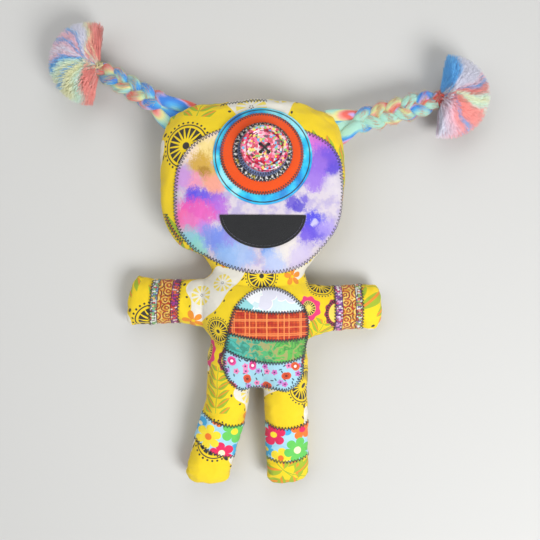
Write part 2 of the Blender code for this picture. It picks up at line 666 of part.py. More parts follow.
def upright_cutter(name, flat):
    """A prism over an outline in the level plane, kept as a hidden cutter."""
    count = len(flat)
    points = [(x, y, z) for z in (0.0, CUTTER_HEIGHT) for x, y in flat]
    walls = [(i, (i + 1) % count, (i + 1) % count + count, i + count) for i in range(count)]
    prism = solid(name, points, walls + [tuple(range(count)), tuple(range(count, 2 * count))], None, None)
    prism.hide_render = True
    prism.display_type = "WIRE"
    return prism


def cut_with(item, cutter, operation):
    modifier = item.modifiers.new(f"{operation} {cutter.name}".lower(), "BOOLEAN")
    modifier.operation = operation
    modifier.solver = "EXACT"
    modifier.object = cutter


def patch(name, face, rise, wall, flat, material, body):
    """A sheet lying a small rise off a front face, cut to an outline in the level plane."""
    grid, way = face
    sheet = between(name, grid + (rise + wall) * way, grid + rise * way, material, body)
    cut_with(sheet, upright_cutter(f"{name}_outline", flat), "INTERSECT")
    return sheet


def eye_and_mouth(face, body, materials):
    """Face panel, eye discs, button and mouth, each lying on the one below it."""
    panel_place = ((FACE_MIDDLE_X, FACE_MIDDLE_Y), (FACE_WIDTH, 0.0), (0.0, FACE_LENGTH))
    panel = closed_curve(outline(FACE_OUTLINE_SHARES, *panel_place), FACE_SECTORS)
    patch("face_panel", face, RUNNING_GAP, PATCH_WALL, panel, materials["tie_dye"], body)
    rise = 2 * RUNNING_GAP + PATCH_WALL
    turn = np.linspace(0.0, math.pi, MOUTH_COLUMNS + 1)
    half_moon = np.stack([MOUTH_X - MOUTH_WIDTH / 2 * np.cos(turn), MOUTH_TOP_Y - MOUTH_DEPTH * np.sin(turn)],
                         axis=-1)
    patch("mouth", face, rise, FELT_WALL, half_moon, materials["black_felt"], body)
    layers = (("eye_ring", RING_RADIUS, PATCH_WALL, 0.0, 0.0, "satin"),
              ("eye_iris", IRIS_RADIUS, FELT_WALL, IRIS_ASIDE, IRIS_ABOVE, "orange_felt"),
              ("eye_print_disc", PRINT_RADIUS, PATCH_WALL, 0.0, PRINT_ABOVE, "print"),
              ("eye_pupil", PUPIL_RADIUS, FELT_WALL, 0.0, PRINT_ABOVE, "grey_felt"))
    for name, radius, wall, aside, above, kind in layers:
        edge = circle(EYE_X + aside, EYE_Y + above, radius, EYE_SECTORS)
        patch(name, face, rise, wall, edge, materials[kind], body)
        rise += wall + RUNNING_GAP
    grid = face[0]
    rows, columns = grid.shape[:2]
    tree = BVHTree.FromPolygons([Vector(p) for p in grid.reshape(-1, 3)], grid_faces(rows, columns, 0))
    middle = Vector((EYE_X + BUTTON_ASIDE, EYE_Y + BUTTON_ABOVE, CUTTER_HEIGHT))
    spot, up = tree.ray_cast(middle, Vector((0.0, 0.0, -1.0)))[:2]
    up = up if up.z > 0.0 else -up
    seat = Matrix.Translation(spot + rise * up) @ up.to_track_quat("Z", "Y").to_matrix().to_4x4()
    button(seat, materials["button"], body)
    thread(seat, materials["thread"], body)


def turned_solid(name, profile, count, seat, material, body):
    """A round solid turned from radius and height pairs that start and end on the axis."""
    turn = np.linspace(0.0, 2.0 * math.pi, count, endpoint=False)
    points = [seat @ Vector((r * math.cos(a), r * math.sin(a), z)) for r, z in profile for a in turn]
    rings = len(profile)
    faces = [(k * count + i, k * count + (i + 1) % count, (k + 1) * count + (i + 1) % count,
              (k + 1) * count + i) for k in range(rings - 1) for i in range(count)]
    return solid(name, points, faces, material, body)


def button(seat, material, body):
    """A four-hole coat button with a dished middle and a soft rim."""
    top, edge = BUTTON_THICKNESS, BUTTON_EDGE
    dish = top - BUTTON_DISH_DEPTH
    profile = [(0.0, 0.0), (BUTTON_RADIUS - edge, 0.0), (BUTTON_RADIUS, edge), (BUTTON_RADIUS, top - edge),
               (BUTTON_RADIUS - edge, top), (BUTTON_DISH_RADIUS + edge, top), (BUTTON_DISH_RADIUS, dish),
               (0.0, dish)]
    disc = turned_solid("eye_button", profile, BUTTON_SECTORS, seat, material, body)
    for index, (sx, sy) in enumerate(((1, 1), (-1, 1), (-1, -1), (1, -1))):
        shift = Matrix.Translation((sx * HOLE_OFFSET, sy * HOLE_OFFSET, 0.0))
        hole = turned_solid(f"button_hole_{index + 1}", [(0.0, -CUT_OVERRUN), (HOLE_RADIUS, -CUT_OVERRUN),
                                                        (HOLE_RADIUS, top + CUT_OVERRUN),
                                                        (0.0, top + CUT_OVERRUN)],
                            HOLE_SECTORS, seat @ shift, None, None)
        hole.hide_render = True
        hole.display_type = "WIRE"
        cut_with(disc, hole, "DIFFERENCE")


def tube(name, points, radii, sides, material, body):
    """A round tube along a path of straight steps, closed at both ends."""
    points, radii = np.asarray(points, float), np.asarray(radii, float)
    ways = np.diff(points, axis=0)
    ways /= np.linalg.norm(ways, axis=1, keepdims=True)
    tangents = np.concatenate([ways[:1], ways[:-1] + ways[1:], ways[-1:]])
    tangents /= np.linalg.norm(tangents, axis=1, keepdims=True)
    side = np.cross(tangents[0], (0.0, 0.0, 1.0))
    if np.linalg.norm(side) < 0.5:
        side = np.cross(tangents[0], (1.0, 0.0, 0.0))
    turn = np.linspace(0.0, 2.0 * math.pi, sides, endpoint=False)
    rings = []
    for point, tangent, radius in zip(points, tangents, radii):
        side = side - tangent * np.dot(side, tangent)
        side /= np.linalg.norm(side)
        other = np.cross(tangent, side)
        rings.append(point + radius * (np.cos(turn)[:, None] * side + np.sin(turn)[:, None] * other))
    count = len(rings)
    faces = [(k * sides + i, k * sides + (i + 1) % sides, (k + 1) * sides + (i + 1) % sides,
              (k + 1) * sides + i) for k in range(count - 1) for i in range(sides)]
    faces += [tuple(range(sides)), tuple(range((count - 1) * sides, count * sides))]
    return solid(name, np.concatenate(rings), faces, material, body)


def thread(seat, material, body):
    """Two crossed stitches over the button, each down a hole at both ends, joined where they cross."""
    high, low = BUTTON_THICKNESS - BUTTON_DISH_DEPTH + RUNNING_GAP + THREAD_RADIUS, RUNNING_GAP
    stitches = []
    for index, sign in enumerate((1, -1)):
        share = np.linspace(-1.0, 1.0, THREAD_ARCH_POINTS)
        arch = [(HOLE_OFFSET * s, sign * HOLE_OFFSET * s, high + THREAD_ARCH * (1.0 - s * s)) for s in share]
        path = [(*arch[0][:2], low)] + arch + [(*arch[-1][:2], low)]
        path = np.array([seat @ Vector(p) for p in path])
        name = "button_thread" if index == 0 else "second_stitch"
        stitches.append(tube(name, path, np.full(len(path), THREAD_RADIUS), THREAD_SIDES, material, body))
    stitches[1].hide_render = True
    stitches[1].display_type = "WIRE"
    cut_with(stitches[0], stitches[1], "UNION")


def belly(face, materials):
    """Four strips of different cottons sewn edge to edge over the belly."""
    place = ((BELLY_MIDDLE_X, BELLY_LOW_Y), (BELLY_WIDTH, 0.0), (0.0, BELLY_LENGTH))
    left, right = outline(BELLY_LEFT_SHARES, *place), outline(BELLY_RIGHT_SHARES, *place)
    share = np.linspace(0.0, 1.0, STRIP_COLUMNS + 1)
    edges = []
    left_cuts, right_cuts = BELLY_LEFT_CUT_SHARES, BELLY_RIGHT_CUT_SHARES
    for left_cut, right_cut, sag in zip(left_cuts, right_cuts, BELLY_SAG_SHARES):
        start, end = smooth_curve(left, [left_cut])[0], smooth_curve(right, [right_cut])[0]
        line = start + (end - start) * share[:, None]
        line[:, 1] += BELLY_LENGTH * sag * 4.0 * share * (1.0 - share)
        edges.append(line)
    half = (0.0, RUNNING_GAP / 2)
    for index, (name, kind) in enumerate(zip(BELLY_NAMES, ("ditsy", "batik", "check", "petal"))):
        low, high = edges[index] + half, edges[index + 1] - half
        rise = np.linspace(0.0, 1.0, BAND_ROWS + 1)[1:-1]
        up = smooth_curve(right, right_cuts[index] + (right_cuts[index + 1] - right_cuts[index]) * rise)
        down = smooth_curve(left, left_cuts[index + 1] - (left_cuts[index + 1] - left_cuts[index]) * rise)
        flat = np.concatenate([low, up, high[::-1], down])
        patch(name, face, RUNNING_GAP, PATCH_WALL, flat, materials[kind], None)


def bands(faces, shapes, bodies, materials):
    """Ribbon cuffs and leg patches, seam to seam across the front of each limb."""
    cases = (("left_cuff", "left_arm", LEFT_CUFF_SHARES, 0.0, "ribbon"),
             ("right_cuff", "right_arm", RIGHT_CUFF_SHARES, 0.0, "ribbon"),
             ("left_leg_patch", "left_leg", LEFT_PATCH_SHARES, PATCH_SAG_SHARE, "floral"),
             ("right_leg_patch", "right_leg", RIGHT_PATCH_SHARES, PATCH_SAG_SHARE, "floral"))
    beyond = np.array([-BAND_OVERRUN_SHARE, 0.25, 0.5, 0.75, 1.0 + BAND_OVERRUN_SHARE])
    for name, limb, (left_ends, right_ends), sag, kind in cases:
        corners = []
        for k in (0, 1):
            left, right = shapes[limb].left([left_ends[k]])[0, :2], shapes[limb].right([right_ends[k]])[0, :2]
            axis = shapes[limb].tip([0.5])[0, :2] - shapes[limb].base([0.5])[0, :2]
            line = left + (right - left) * beyond[:, None]
            corners.append(line + axis * sag * (1.0 - (2.0 * beyond[:, None] - 1.0) ** 2))
        flat = np.concatenate([corners[0], corners[1][::-1]])
        patch(name, faces[limb], RUNNING_GAP, PATCH_WALL, flat, materials[kind], bodies[limb])


def braids(head, bodies, materials):
    cases = (("left", LEFT_BRAID_LENGTH, LEFT_BRAID_HEADING, LEFT_TASSEL_HEADING, LEFT_TAPER_SHARE, "pale_yarn"),
             ("right", RIGHT_BRAID_LENGTH, RIGHT_BRAID_HEADING, RIGHT_TASSEL_HEADING, RIGHT_TAPER_SHARE,
              "coral_yarn"))
    for side, length, heading, fan_heading, taper, yarn in cases:
        body = bodies[f"{side}_braid"]
        root = np.array(braid_root(head, side))
        tip = root + length * np.array([math.cos(heading), math.sin(heading), 0.0])
        tip[2] = TIE_HEIGHT
        frame = braid_frame(root, tip)
        end_half = (PLAIT_HALF_WIDTH + HANK_RADIUS) * taper * PLAIT_CINCH_SHARE
        lean = TASSEL_SPREAD + abs(fan_heading - heading)
        stop = length - end_half * math.tan(lean - math.pi / 2) - RUNNING_GAP
        gather(f"{side}_braid_root", frame, seam_round_head(head), materials["fleece_lilac"], body)
        for index, kind in enumerate(("fleece_coral", "fleece_blue", "fleece_mint")):
            hank(f"{side}_braid_hank_{index + 1}", frame, index, stop, taper, materials[kind], body)
        tie(f"{side}_braid_tie", frame, stop, taper, materials[yarn], body)
        tassel(f"{side}_tassel", tip, fan_heading, materials["fleece_coral"], body)


def seam_round_head(head):
    """Points close together along the sewn outline of the head's covers."""
    sides, top = tip_shares(HEAD_ROWS), round_shares(HEAD_COLUMNS)
    corners = np.concatenate([head.left(sides), head.tip(top)[1:], head.right(sides)[-2::-1]])[:, :2]
    places = np.linspace(0.0, len(corners) - 1.0, SEAM_POINTS)
    return np.stack([np.interp(places, np.arange(len(corners)), corners[:, k]) for k in (0, 1)], axis=-1)


def braid_frame(root, tip):
    """Root point and the pigtail's own directions: along, to its left and up."""
    along = (tip - root) / np.linalg.norm(tip - root)
    beside = np.cross((0.0, 0.0, 1.0), along)
    beside /= np.linalg.norm(beside)
    return root, along, beside, np.cross(along, beside)


def in_frame(frame, along, beside, up):
    root, *ways = frame
    return root + sum(np.asarray(d)[..., None] * way for d, way in zip((along, beside, up), ways))


def gather(name, frame, seam, material, body):
    """The fleece gathered into the seam: an oval, pinched at the seam, that widens to the plait.

    It starts just clear of the farthest point of the seam that lies within its own half width.
    """
    turn = np.linspace(0.0, 2.0 * math.pi, ROOT_SECTORS, endpoint=False)
    full_width, full_depth = PLAIT_HALF_WIDTH + HANK_RADIUS, PLAIT_HALF_DEPTH + HANK_RADIUS
    root, along_way, beside_way, _ = frame
    out, beside = (seam - root[:2]) @ along_way[:2], (seam - root[:2]) @ beside_way[:2]
    start = RUNNING_GAP + out[np.abs(beside) <= ROOT_PINCH_SHARE * full_width].max()
    rings = []
    for share in (0.0, 0.5, 1.0):
        along = start + share * (ROOT_LENGTH - start)
        size = ROOT_PINCH_SHARE + (1.0 - ROOT_PINCH_SHARE) * math.sin(share * math.pi / 2)
        rings.append(in_frame(frame, np.full(ROOT_SECTORS, along), size * full_width * np.cos(turn),
                              size * full_depth * np.sin(turn)))
    count = ROOT_SECTORS
    faces = [(k * count + i, k * count + (i + 1) % count, (k + 1) * count + (i + 1) % count,
              (k + 1) * count + i) for k in range(2) for i in range(count)]
    faces += [tuple(range(count)), tuple(range(2 * count, 3 * count))]
    return solid(name, np.concatenate(rings), faces, material, body)


def plait_size(share, taper):
    """Width of the plait as a share of its full width: it tapers, then the tie draws it in."""
    begun = (share - 1.0 + PLAIT_TIED_SHARE + PLAIT_EASE_SHARE) / PLAIT_EASE_SHARE
    cinch = 1.0 - (1.0 - PLAIT_CINCH_SHARE) * ease(begun)
    return (1.0 - (1.0 - taper) * share) * cinch


def hank(name, frame, index, stop, taper, material, body):
    """One of three hanks: side to side once a pitch, up and down twice, a third of a turn apart."""
    start = ROOT_LENGTH + RUNNING_GAP + HANK_RADIUS
    finish = stop - HANK_RADIUS
    turns = (finish - start) / PLAIT_PITCH
    share = np.linspace(0.0, 1.0, round(POINTS_PER_PITCH * turns) + 1)
    turn = 2.0 * math.pi * (index / 3.0 + turns * share)
    size = plait_size(share, taper)
    beside = PLAIT_HALF_WIDTH * size * np.sin(turn)
    up = PLAIT_HALF_DEPTH * size * np.sin(2.0 * turn)
    path = in_frame(frame, start + (finish - start) * share, beside, up)
    lead = HANK_RADIUS * frame[1]
    path = np.concatenate([path[:1] - lead, path, path[-1:] + lead])
    radii = HANK_RADIUS * np.concatenate([size[:1], size, size[-1:]])
    return tube(name, path, radii, THREAD_SIDES, material, body)


def tie(name, frame, stop, taper, material, body):
    """A yarn wound once round the end of the plait, its two tails standing up."""
    size = TIE_ROUND_SHARE * plait_size(1.0 - PLAIT_TIED_SHARE, taper)
    off = RUNNING_GAP + TIE_THREAD
    width = (PLAIT_HALF_WIDTH + HANK_RADIUS) * size + off
    depth = (PLAIT_HALF_DEPTH + HANK_RADIUS) * size + off
    share = np.linspace(0.0, 1.0, TIE_POINTS + 1)
    turn = math.pi / 2 + 2.0 * math.pi * share
    along = stop - 2.0 * HANK_RADIUS + 3.0 * TIE_THREAD * (share - 0.5)
    across, up = np.cos(turn), np.sin(turn)
    ring = in_frame(frame, along, width * np.sign(across) * np.abs(across) ** TIE_POWER,
                    depth * np.sign(up) * np.abs(up) ** TIE_POWER)
    first = in_frame(frame, along[0] - TIE_THREAD, TIE_TAIL / 3, depth + TIE_TAIL)
    last = in_frame(frame, along[-1] + TIE_THREAD, -TIE_TAIL / 3, depth + TIE_TAIL)
    path = np.concatenate([[first], ring, [last]])
    return tube(name, path, np.full(len(path), TIE_THREAD), THREAD_SIDES, material, body)


def tassel(name, tip, heading, material, body):
    """The brushed-out end: a wedge of a flattened ball, lobed by its locks, flat where it lies."""
    turn = np.linspace(-TASSEL_SPREAD, TASSEL_SPREAD, TASSEL_SECTORS + 1)
    climb = np.linspace(-math.pi / 2, math.pi / 2, TASSEL_ROWS + 1)[:, None]
    lobe = 1.0 + TASSEL_LOCK_SHARE * np.cos(math.pi * TASSEL_LOCKS * turn / TASSEL_SPREAD)
    reach = TASSEL_REACH * lobe * np.cos(climb)
    x, y = tip[0] + reach * np.cos(heading + turn), tip[1] + reach * np.sin(heading + turn)
    z = tip[2] + TASSEL_FLAT_SHARE * TASSEL_REACH * np.sin(climb) * np.ones_like(turn)
    shell = np.stack([x, y, np.maximum(z, 0.0)], axis=-1)
    axis = shell.copy()
    axis[..., :2] = tip[:2]
    rows, columns = shell.shape[:2]
    first, last = [r * columns for r in range(rows)], [r * columns + columns - 1 for r in range(rows)]
    return solid(name, shell.reshape(-1, 3), grid_faces(rows, columns, 0) + [tuple(first), tuple(last)],
                 material, body)


def build():
    clear_scene()
    cotton, fleece = cloth("yellow_cotton", (0.83, 0.62, 0.05)), cloth("polyester_fill", (0.90, 0.90, 0.88))
    materials = {
        "tie_dye": cloth("tie_dyed_cotton", (0.55, 0.30, 0.55)),
        "satin": cloth("turquoise_satin", (0.03, 0.45, 0.62), 0.45),
        "orange_felt": cloth("orange_felt", (0.86, 0.14, 0.03), 0.95),
        "print": cloth("black_and_white_cotton", (0.35, 0.33, 0.33)),
        "grey_felt": cloth("grey_felt", (0.21, 0.27, 0.34), 0.95),
        "black_felt": cloth("black_felt", (0.018, 0.018, 0.022), 0.95),
        "button": cloth("speckled_polyester_button", (0.80, 0.25, 0.35), 0.25),
        "thread": cloth("black_thread", (0.01, 0.01, 0.012), 0.6),
        "ditsy": cloth("pale_blue_cotton", (0.50, 0.66, 0.80)),
        "batik": cloth("green_batik_cotton", (0.05, 0.38, 0.25)),
        "check": cloth("red_check_cotton", (0.80, 0.12, 0.04)),
        "petal": cloth("white_print_cotton", (0.75, 0.80, 0.84)),
        "ribbon": cloth("gold_woven_ribbon", (0.62, 0.42, 0.12), 0.45, 0.3),
        "floral": cloth("flowered_blue_cotton", (0.42, 0.62, 0.78)),
        "fleece_coral": cloth("coral_fleece", (0.88, 0.22, 0.16), 0.95),
        "fleece_blue": cloth("sky_blue_fleece", (0.22, 0.55, 0.85), 0.95),
        "fleece_mint": cloth("mint_fleece", (0.50, 0.82, 0.62), 0.95),
        "fleece_lilac": cloth("lilac_fleece", (0.60, 0.50, 0.75), 0.95),
        "pale_yarn": cloth("pale_yellow_yarn", (0.90, 0.84, 0.50), 0.95),
        "coral_yarn": cloth("coral_yarn", (0.85, 0.25, 0.20), 0.95),
    }
    head = head_shape()
    left_arm = ((LEFT_SHOULDER_X, LEFT_SHOULDER_LOW), (-LEFT_ARM_LENGTH, 0.0), (0.0, LEFT_ARM_WIDTH))
    right_arm = ((RIGHT_SHOULDER_X, RIGHT_SHOULDER_LOW), (RIGHT_ARM_LENGTH, 0.0), (0.0, RIGHT_ARM_WIDTH))
    left_leg = ((TORSO_LEFT_X, HIP_LINE_Y), (0.0, -LEG_LENGTH), (LEG_WIDTH, 0.0))
    right_leg = ((RIGHT_LEG_IN_X, HIP_LINE_Y), (0.0, -LEG_LENGTH), (LEG_WIDTH, 0.0))
    arm = (ARM_ROOT_HALF, ARM_CROWN, HAND_SEAM_HEIGHT)
    leg = (LEG_ROOT_HALF, LEG_CROWN, FOOT_SEAM_HEIGHT)
    shapes = {
        "torso": torso_shape(),
        "head": head,
        "left_arm": limb_shape(LEFT_ARM_LOW_SHARES, LEFT_ARM_HIGH_SHARES, LEFT_HAND_SHARES, left_arm, *arm),
        "right_arm": limb_shape(RIGHT_ARM_HIGH_SHARES, RIGHT_ARM_LOW_SHARES, RIGHT_HAND_SHARES[::-1],
                                right_arm, *arm),
        "left_leg": limb_shape(LEFT_LEG_INNER_SHARES, LEFT_LEG_OUTER_SHARES, LEFT_FOOT_SHARES,
                               left_leg, *leg),
        "right_leg": limb_shape(RIGHT_LEG_OUTER_SHARES, RIGHT_LEG_INNER_SHARES, RIGHT_FOOT_SHARES,
                                right_leg, *leg),
    }
    bodies = body_empties(head)
    faces = stuffed_bodies(shapes, bodies, (cotton, fleece))
    eye_and_mouth(faces["head"], bodies["head"], materials)
    belly(faces["torso"], materials)
    bands(faces, shapes, bodies, materials)
    braids(head, bodies, materials)


build()
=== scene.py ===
"""A rag doll of printed cotton with one big eye and two pigtails, lying on its back.

Metres, +Z up, +Y to the top of the head. Left and right are the viewer's, looking down on it.
"""
import math

import bpy
import numpy as np
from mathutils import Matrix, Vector
from mathutils.bvhtree import BVHTree


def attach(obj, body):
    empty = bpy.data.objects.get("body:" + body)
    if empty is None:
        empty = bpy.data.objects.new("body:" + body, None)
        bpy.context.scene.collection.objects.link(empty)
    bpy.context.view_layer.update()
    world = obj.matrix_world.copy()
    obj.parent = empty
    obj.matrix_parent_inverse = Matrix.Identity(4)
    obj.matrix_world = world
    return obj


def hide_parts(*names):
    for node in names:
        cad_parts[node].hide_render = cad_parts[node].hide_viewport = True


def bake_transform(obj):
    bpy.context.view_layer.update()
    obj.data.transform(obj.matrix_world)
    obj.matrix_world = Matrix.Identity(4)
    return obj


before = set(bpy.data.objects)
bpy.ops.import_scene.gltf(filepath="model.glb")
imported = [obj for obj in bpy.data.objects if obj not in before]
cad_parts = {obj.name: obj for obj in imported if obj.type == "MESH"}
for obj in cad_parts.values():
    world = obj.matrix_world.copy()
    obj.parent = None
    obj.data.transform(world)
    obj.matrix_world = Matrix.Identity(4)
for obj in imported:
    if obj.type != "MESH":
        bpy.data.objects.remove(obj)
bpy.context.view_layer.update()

scene = bpy.context.scene

# Camera: straight above the doll, near enough that raised pieces look a little larger.
CAMERA_PLACE = (0.0096, 0.0560, 0.6000)
FRAMED_WIDTH = 0.4320
FRAMED_HEIGHT = 0.0220
lens_data = bpy.data.cameras.new("camera")
lens_data.sensor_fit = "HORIZONTAL"
lens_data.lens = lens_data.sensor_width * (CAMERA_PLACE[2] - FRAMED_HEIGHT) / FRAMED_WIDTH
camera = bpy.data.objects.new("camera", lens_data)
camera.location = CAMERA_PLACE
scene.collection.objects.link(camera)
scene.camera = camera


# Doll's skin: two panels of printed yellow cotton, sewn edge to edge, turned and stuffed tight.
# Head, arms and legs are each a piece of the one skin, cut off where they leave the torso. It
# puckers along the seam, where the flat cloth has to go round a full body.
FRONT_SWELL = 1.10
BACK_SWELL = 0.95
SIDE_POWER = 2.3
TORSO_SEAM_HEIGHT, HEAD_SEAM_HEIGHT, HAND_SEAM_HEIGHT, FOOT_SEAM_HEIGHT = 0.0200, 0.0260, 0.0122, 0.0130
TORSO_WIDTH, TORSO_LENGTH, TORSO_MIDDLE_X, HIP_LINE_Y = 0.0824, 0.0900, -0.0012, -0.0400
TORSO_CROWN, TORSO_TIP_POWER = 0.0260, 2.0
SHOULDER_OUT, RIGHT_SHOULDER_DROP, NECK_DIP, CROTCH_WIDTH = 0.0420, 0.0035, 0.0045, 0.0100
SHOULDER_ROW = 0.5
LEFT_WAIST = ((0.0, 0.0), (0.35, 0.010), (0.64, 0.018), (0.82, 0.050))
RIGHT_WAIST = ((0.0, 0.0), (0.30, -0.014), (0.62, -0.012), (0.86, 0.004))
ARM_ROOT_HALF, LEG_ROOT_HALF, NECK_HALF = 0.0120, 0.0130, 0.0175
NECK_FOLD, SHOULDER_FOLD, HIP_FOLD = 0.0083, 0.0165, 0.0165
HEAD_WIDTH, HEAD_LENGTH, HEAD_MIDDLE_X = 0.1485, 0.1372, -0.0042
HEAD_CROWN, HEAD_TIP_POWER, HEAD_SEAM_EASE = 0.0330, 3.5, 0.45
HEAD_LEFT = ((-0.222, 0.0), (-0.266, 0.078), (-0.395, 0.152), (-0.464, 0.262), (-0.493, 0.385),
             (-0.500, 0.560), (-0.493, 0.745), (-0.442, 0.897))
HEAD_RIGHT = ((0.284, 0.0), (0.368, 0.110), (0.452, 0.250), (0.494, 0.450), (0.500, 0.610),
              (0.476, 0.800), (0.436, 0.897))
HEAD_TOP = ((-0.442, 0.897), (-0.345, 0.950), (-0.160, 0.982), (0.109, 1.0), (0.311, 0.956),
            (0.436, 0.897))
LEFT_ARM_LENGTH, LEFT_ARM_WIDTH = 0.0640, 0.0410
RIGHT_ARM_LENGTH, RIGHT_ARM_WIDTH = 0.0603, 0.0460
ARM_CROWN, LEG_CROWN, LEG_LENGTH = 0.0115, 0.0120, 0.0772
LEFT_ARM_LOW = ((0.0, 0.0), (0.20, 0.061), (0.40, 0.093), (0.71, 0.054), (0.955, 0.038))
LEFT_ARM_HIGH = ((0.0, 1.0), (0.20, 0.985), (0.35, 0.971), (0.63, 0.990), (0.85, 1.060))
LEFT_HAND = ((0.955, 0.038), (0.995, 0.130), (1.0, 0.366), (0.967, 0.707), (0.905, 0.950),
             (0.85, 1.060))
RIGHT_ARM_LOW = ((0.0, 0.0), (0.133, 0.059), (0.381, 0.130), (0.676, 0.165), (0.890, 0.135))
RIGHT_ARM_HIGH = ((0.0, 1.0), (0.133, 0.968), (0.343, 0.950), (0.724, 0.972), (0.921, 0.956))
RIGHT_HAND = ((0.890, 0.135), (0.962, 0.250), (1.0, 0.483), (0.995, 0.680), (0.971, 0.853),
              (0.921, 0.956))
LEFT_LEG_OUTER = ((0.0, 0.0), (0.078, -0.003), (0.207, -0.088), (0.401, -0.215), (0.628, -0.335),
                  (0.780, -0.422), (0.881, -0.462))
LEFT_LEG_INNER = ((0.0, 1.0), (0.078, 1.0), (0.298, 0.906), (0.531, 0.773), (0.726, 0.635), (0.916, 0.545))
LEFT_FOOT = ((0.916, 0.545), (0.962, 0.480), (1.0, 0.200), (1.0, -0.080), (0.985, -0.310),
             (0.945, -0.420), (0.881, -0.462))
RIGHT_LEG_INNER = ((0.0, 0.0), (0.078, 0.0), (0.273, 0.017), (0.531, 0.039), (0.757, 0.066), (0.925, 0.088))
RIGHT_LEG_OUTER = ((0.0, 1.0), (0.078, 1.015), (0.250, 1.033), (0.401, 1.020), (0.596, 1.012),
                   (0.760, 1.036), (0.880, 1.022))
RIGHT_FOOT = ((0.880, 1.022), (0.950, 0.920), (0.995, 0.620), (1.0, 0.350), (0.985, 0.150), (0.925, 0.088))
LIMB_TIP_POWER, LIMB_SEAM_EASE = 7.0, 0.6
LEAST_LOFT = 1e-12
LEG_CELLS, CROTCH_CELLS, WAIST_CELLS, SHOULDER_CELLS = 16, 4, 14, 18
ARM_ROWS, LEG_ROWS, NECK_ROWS, HEAD_ROWS = 24, 28, 3, 38
MERGE_DIGITS = 7


def smooth_curve(points, at):
    """Catmull-Rom curve through the points, at shares of its chord length.

    Between two points it is the cubic whose slopes at both ends are those of its neighbours.
    """
    points = np.asarray(points, float)
    steps = np.linalg.norm(np.diff(points, axis=0), axis=1)
    knots = np.concatenate([[0.0], np.cumsum(steps)]) / steps.sum()
    slopes = np.gradient(points, knots, axis=0)
    at = np.clip(np.asarray(at, float), 0.0, 1.0)
    cell = np.clip(np.searchsorted(knots, at, side="right") - 1, 0, len(knots) - 2)
    span = (knots[cell + 1] - knots[cell])[..., None]
    t = (at - knots[cell])[..., None] / span
    leave, arrive = slopes[cell] * span, slopes[cell + 1] * span
    return (points[cell] * (2 * t**3 - 3 * t**2 + 1) + leave * (t**3 - 2 * t**2 + t)
            + points[cell + 1] * (3 * t**2 - 2 * t**3) + arrive * (t**3 - t**2))


def path_gone(path):
    """How far along a path each of its points lies."""
    return np.concatenate([[0.0], np.cumsum(np.linalg.norm(np.diff(path, axis=0), axis=1))])


def places_along(path, gone, at):
    """Places on a path of the plan at distances along it, from how far along its points lie."""
    return np.stack([np.interp(at, gone, path[:, k]) for k in (0, 1)], axis=-1)


def ease(share):
    """Smooth step from 0 to 1: three times the square less twice the cube."""
    share = np.clip(share, 0.0, 1.0)
    return share * share * (3.0 - 2.0 * share)


def round_shares(cells):
    """Shares from 0 to 1 by half a cosine wave, mixed with even steps, so that sides get more rows."""
    even = np.linspace(0.0, 1.0, cells + 1)
    return 0.5 * even + 0.25 * (1.0 - np.cos(math.pi * even))


def lens(share, half):
    """Square of the half thickness across an open end: an ellipse from side seam to side seam."""
    return half * half * np.clip(1.0 - (2.0 * np.asarray(share) - 1.0) ** 2, 0.0, None)


def with_loft(plan, loft):
    """Places of the plan with the square of the half thickness there as a third number."""
    return np.concatenate([plan, np.broadcast_to(loft, plan.shape[:-1])[..., None]], axis=-1)


def straight(start, end):
    """Line of the plan from one place to another, as a function of the share gone."""
    start, end = np.asarray(start, float), np.asarray(end, float)
    return lambda at: start + (end - start) * np.asarray(at, float)[:, None]


def sewn(points):
    """Edge along a sewn outline, where the half thickness is nothing."""
    return lambda at: with_loft(smooth_curve(points, at), 0.0)


def opened(start, end, half):
    """Edge along a straight open end, an ellipse in section."""
    line = straight(start, end)
    return lambda at: with_loft(line(at), lens(at, half))


def outline(shares, origin, out, up):
    """Places of the plan: an origin and pairs of shares of two lengths."""
    return [(origin[0] + s * out[0] + t * up[0], origin[1] + s * out[1] + t * up[1]) for s, t in shares]


class StuffedLength:
    """Two cotton panels sewn edge to edge and stuffed, over a four-sided outline.

    across runs from the left edge to the right one, along from the base edge to the tip edge.
    Plan and square of the half thickness are a Coons patch of the four edges. The crown, with a
    power of the distance from the middle across and a bump along, adds the swelling inside.
    """

    def __init__(self, left, right, base, tip, crown, tip_power, seam_heights, seam_ease):
        self.left, self.right, self.base, self.tip = left, right, base, tip
        self.crown, self.tip_power = crown, tip_power
        self.seam_heights, self.seam_ease = seam_heights, seam_ease

    def plan(self, across, along):
        """x, y and half thickness at pairs of shares: two lists of the same length."""
        a, b = np.asarray(across, float)[:, None], np.asarray(along, float)[:, None]
        ends = np.array([0.0, 1.0])
        low, high = self.base(ends), self.tip(ends)
        corners = ((1 - a) * (1 - b) * low[0] + a * (1 - b) * low[1]
                   + (1 - a) * b * high[0] + a * b * high[1])
        spot = ((1 - a) * self.left(b[:, 0]) + a * self.right(b[:, 0])
                + (1 - b) * self.base(a[:, 0]) + b * self.tip(a[:, 0]) - corners)
        side = 1.0 - np.abs(2.0 * a[:, 0] - 1.0) ** SIDE_POWER
        length = (1.0 - (1.0 - b[:, 0]) ** 2) * (1.0 - np.clip(b[:, 0], 0.0, None) ** self.tip_power)
        loft = np.clip(spot[:, 2] + self.crown**2 * side * length, 0.0, None)
        return spot[:, :2], np.where(loft < LEAST_LOFT, 0.0, np.sqrt(loft))

    def face(self, across, along, front):
        """Points of the front or the back panel: the half thickness above or below the seam's height."""
        flat, half = self.plan(across, along)
        low, high = self.seam_heights
        seam = low + (high - low) * ease(np.asarray(along, float) / self.seam_ease)
        height = seam + FRONT_SWELL * half if front else np.maximum(seam - BACK_SWELL * half, 0.0)
        return np.concatenate([flat, height[:, None]], axis=-1)


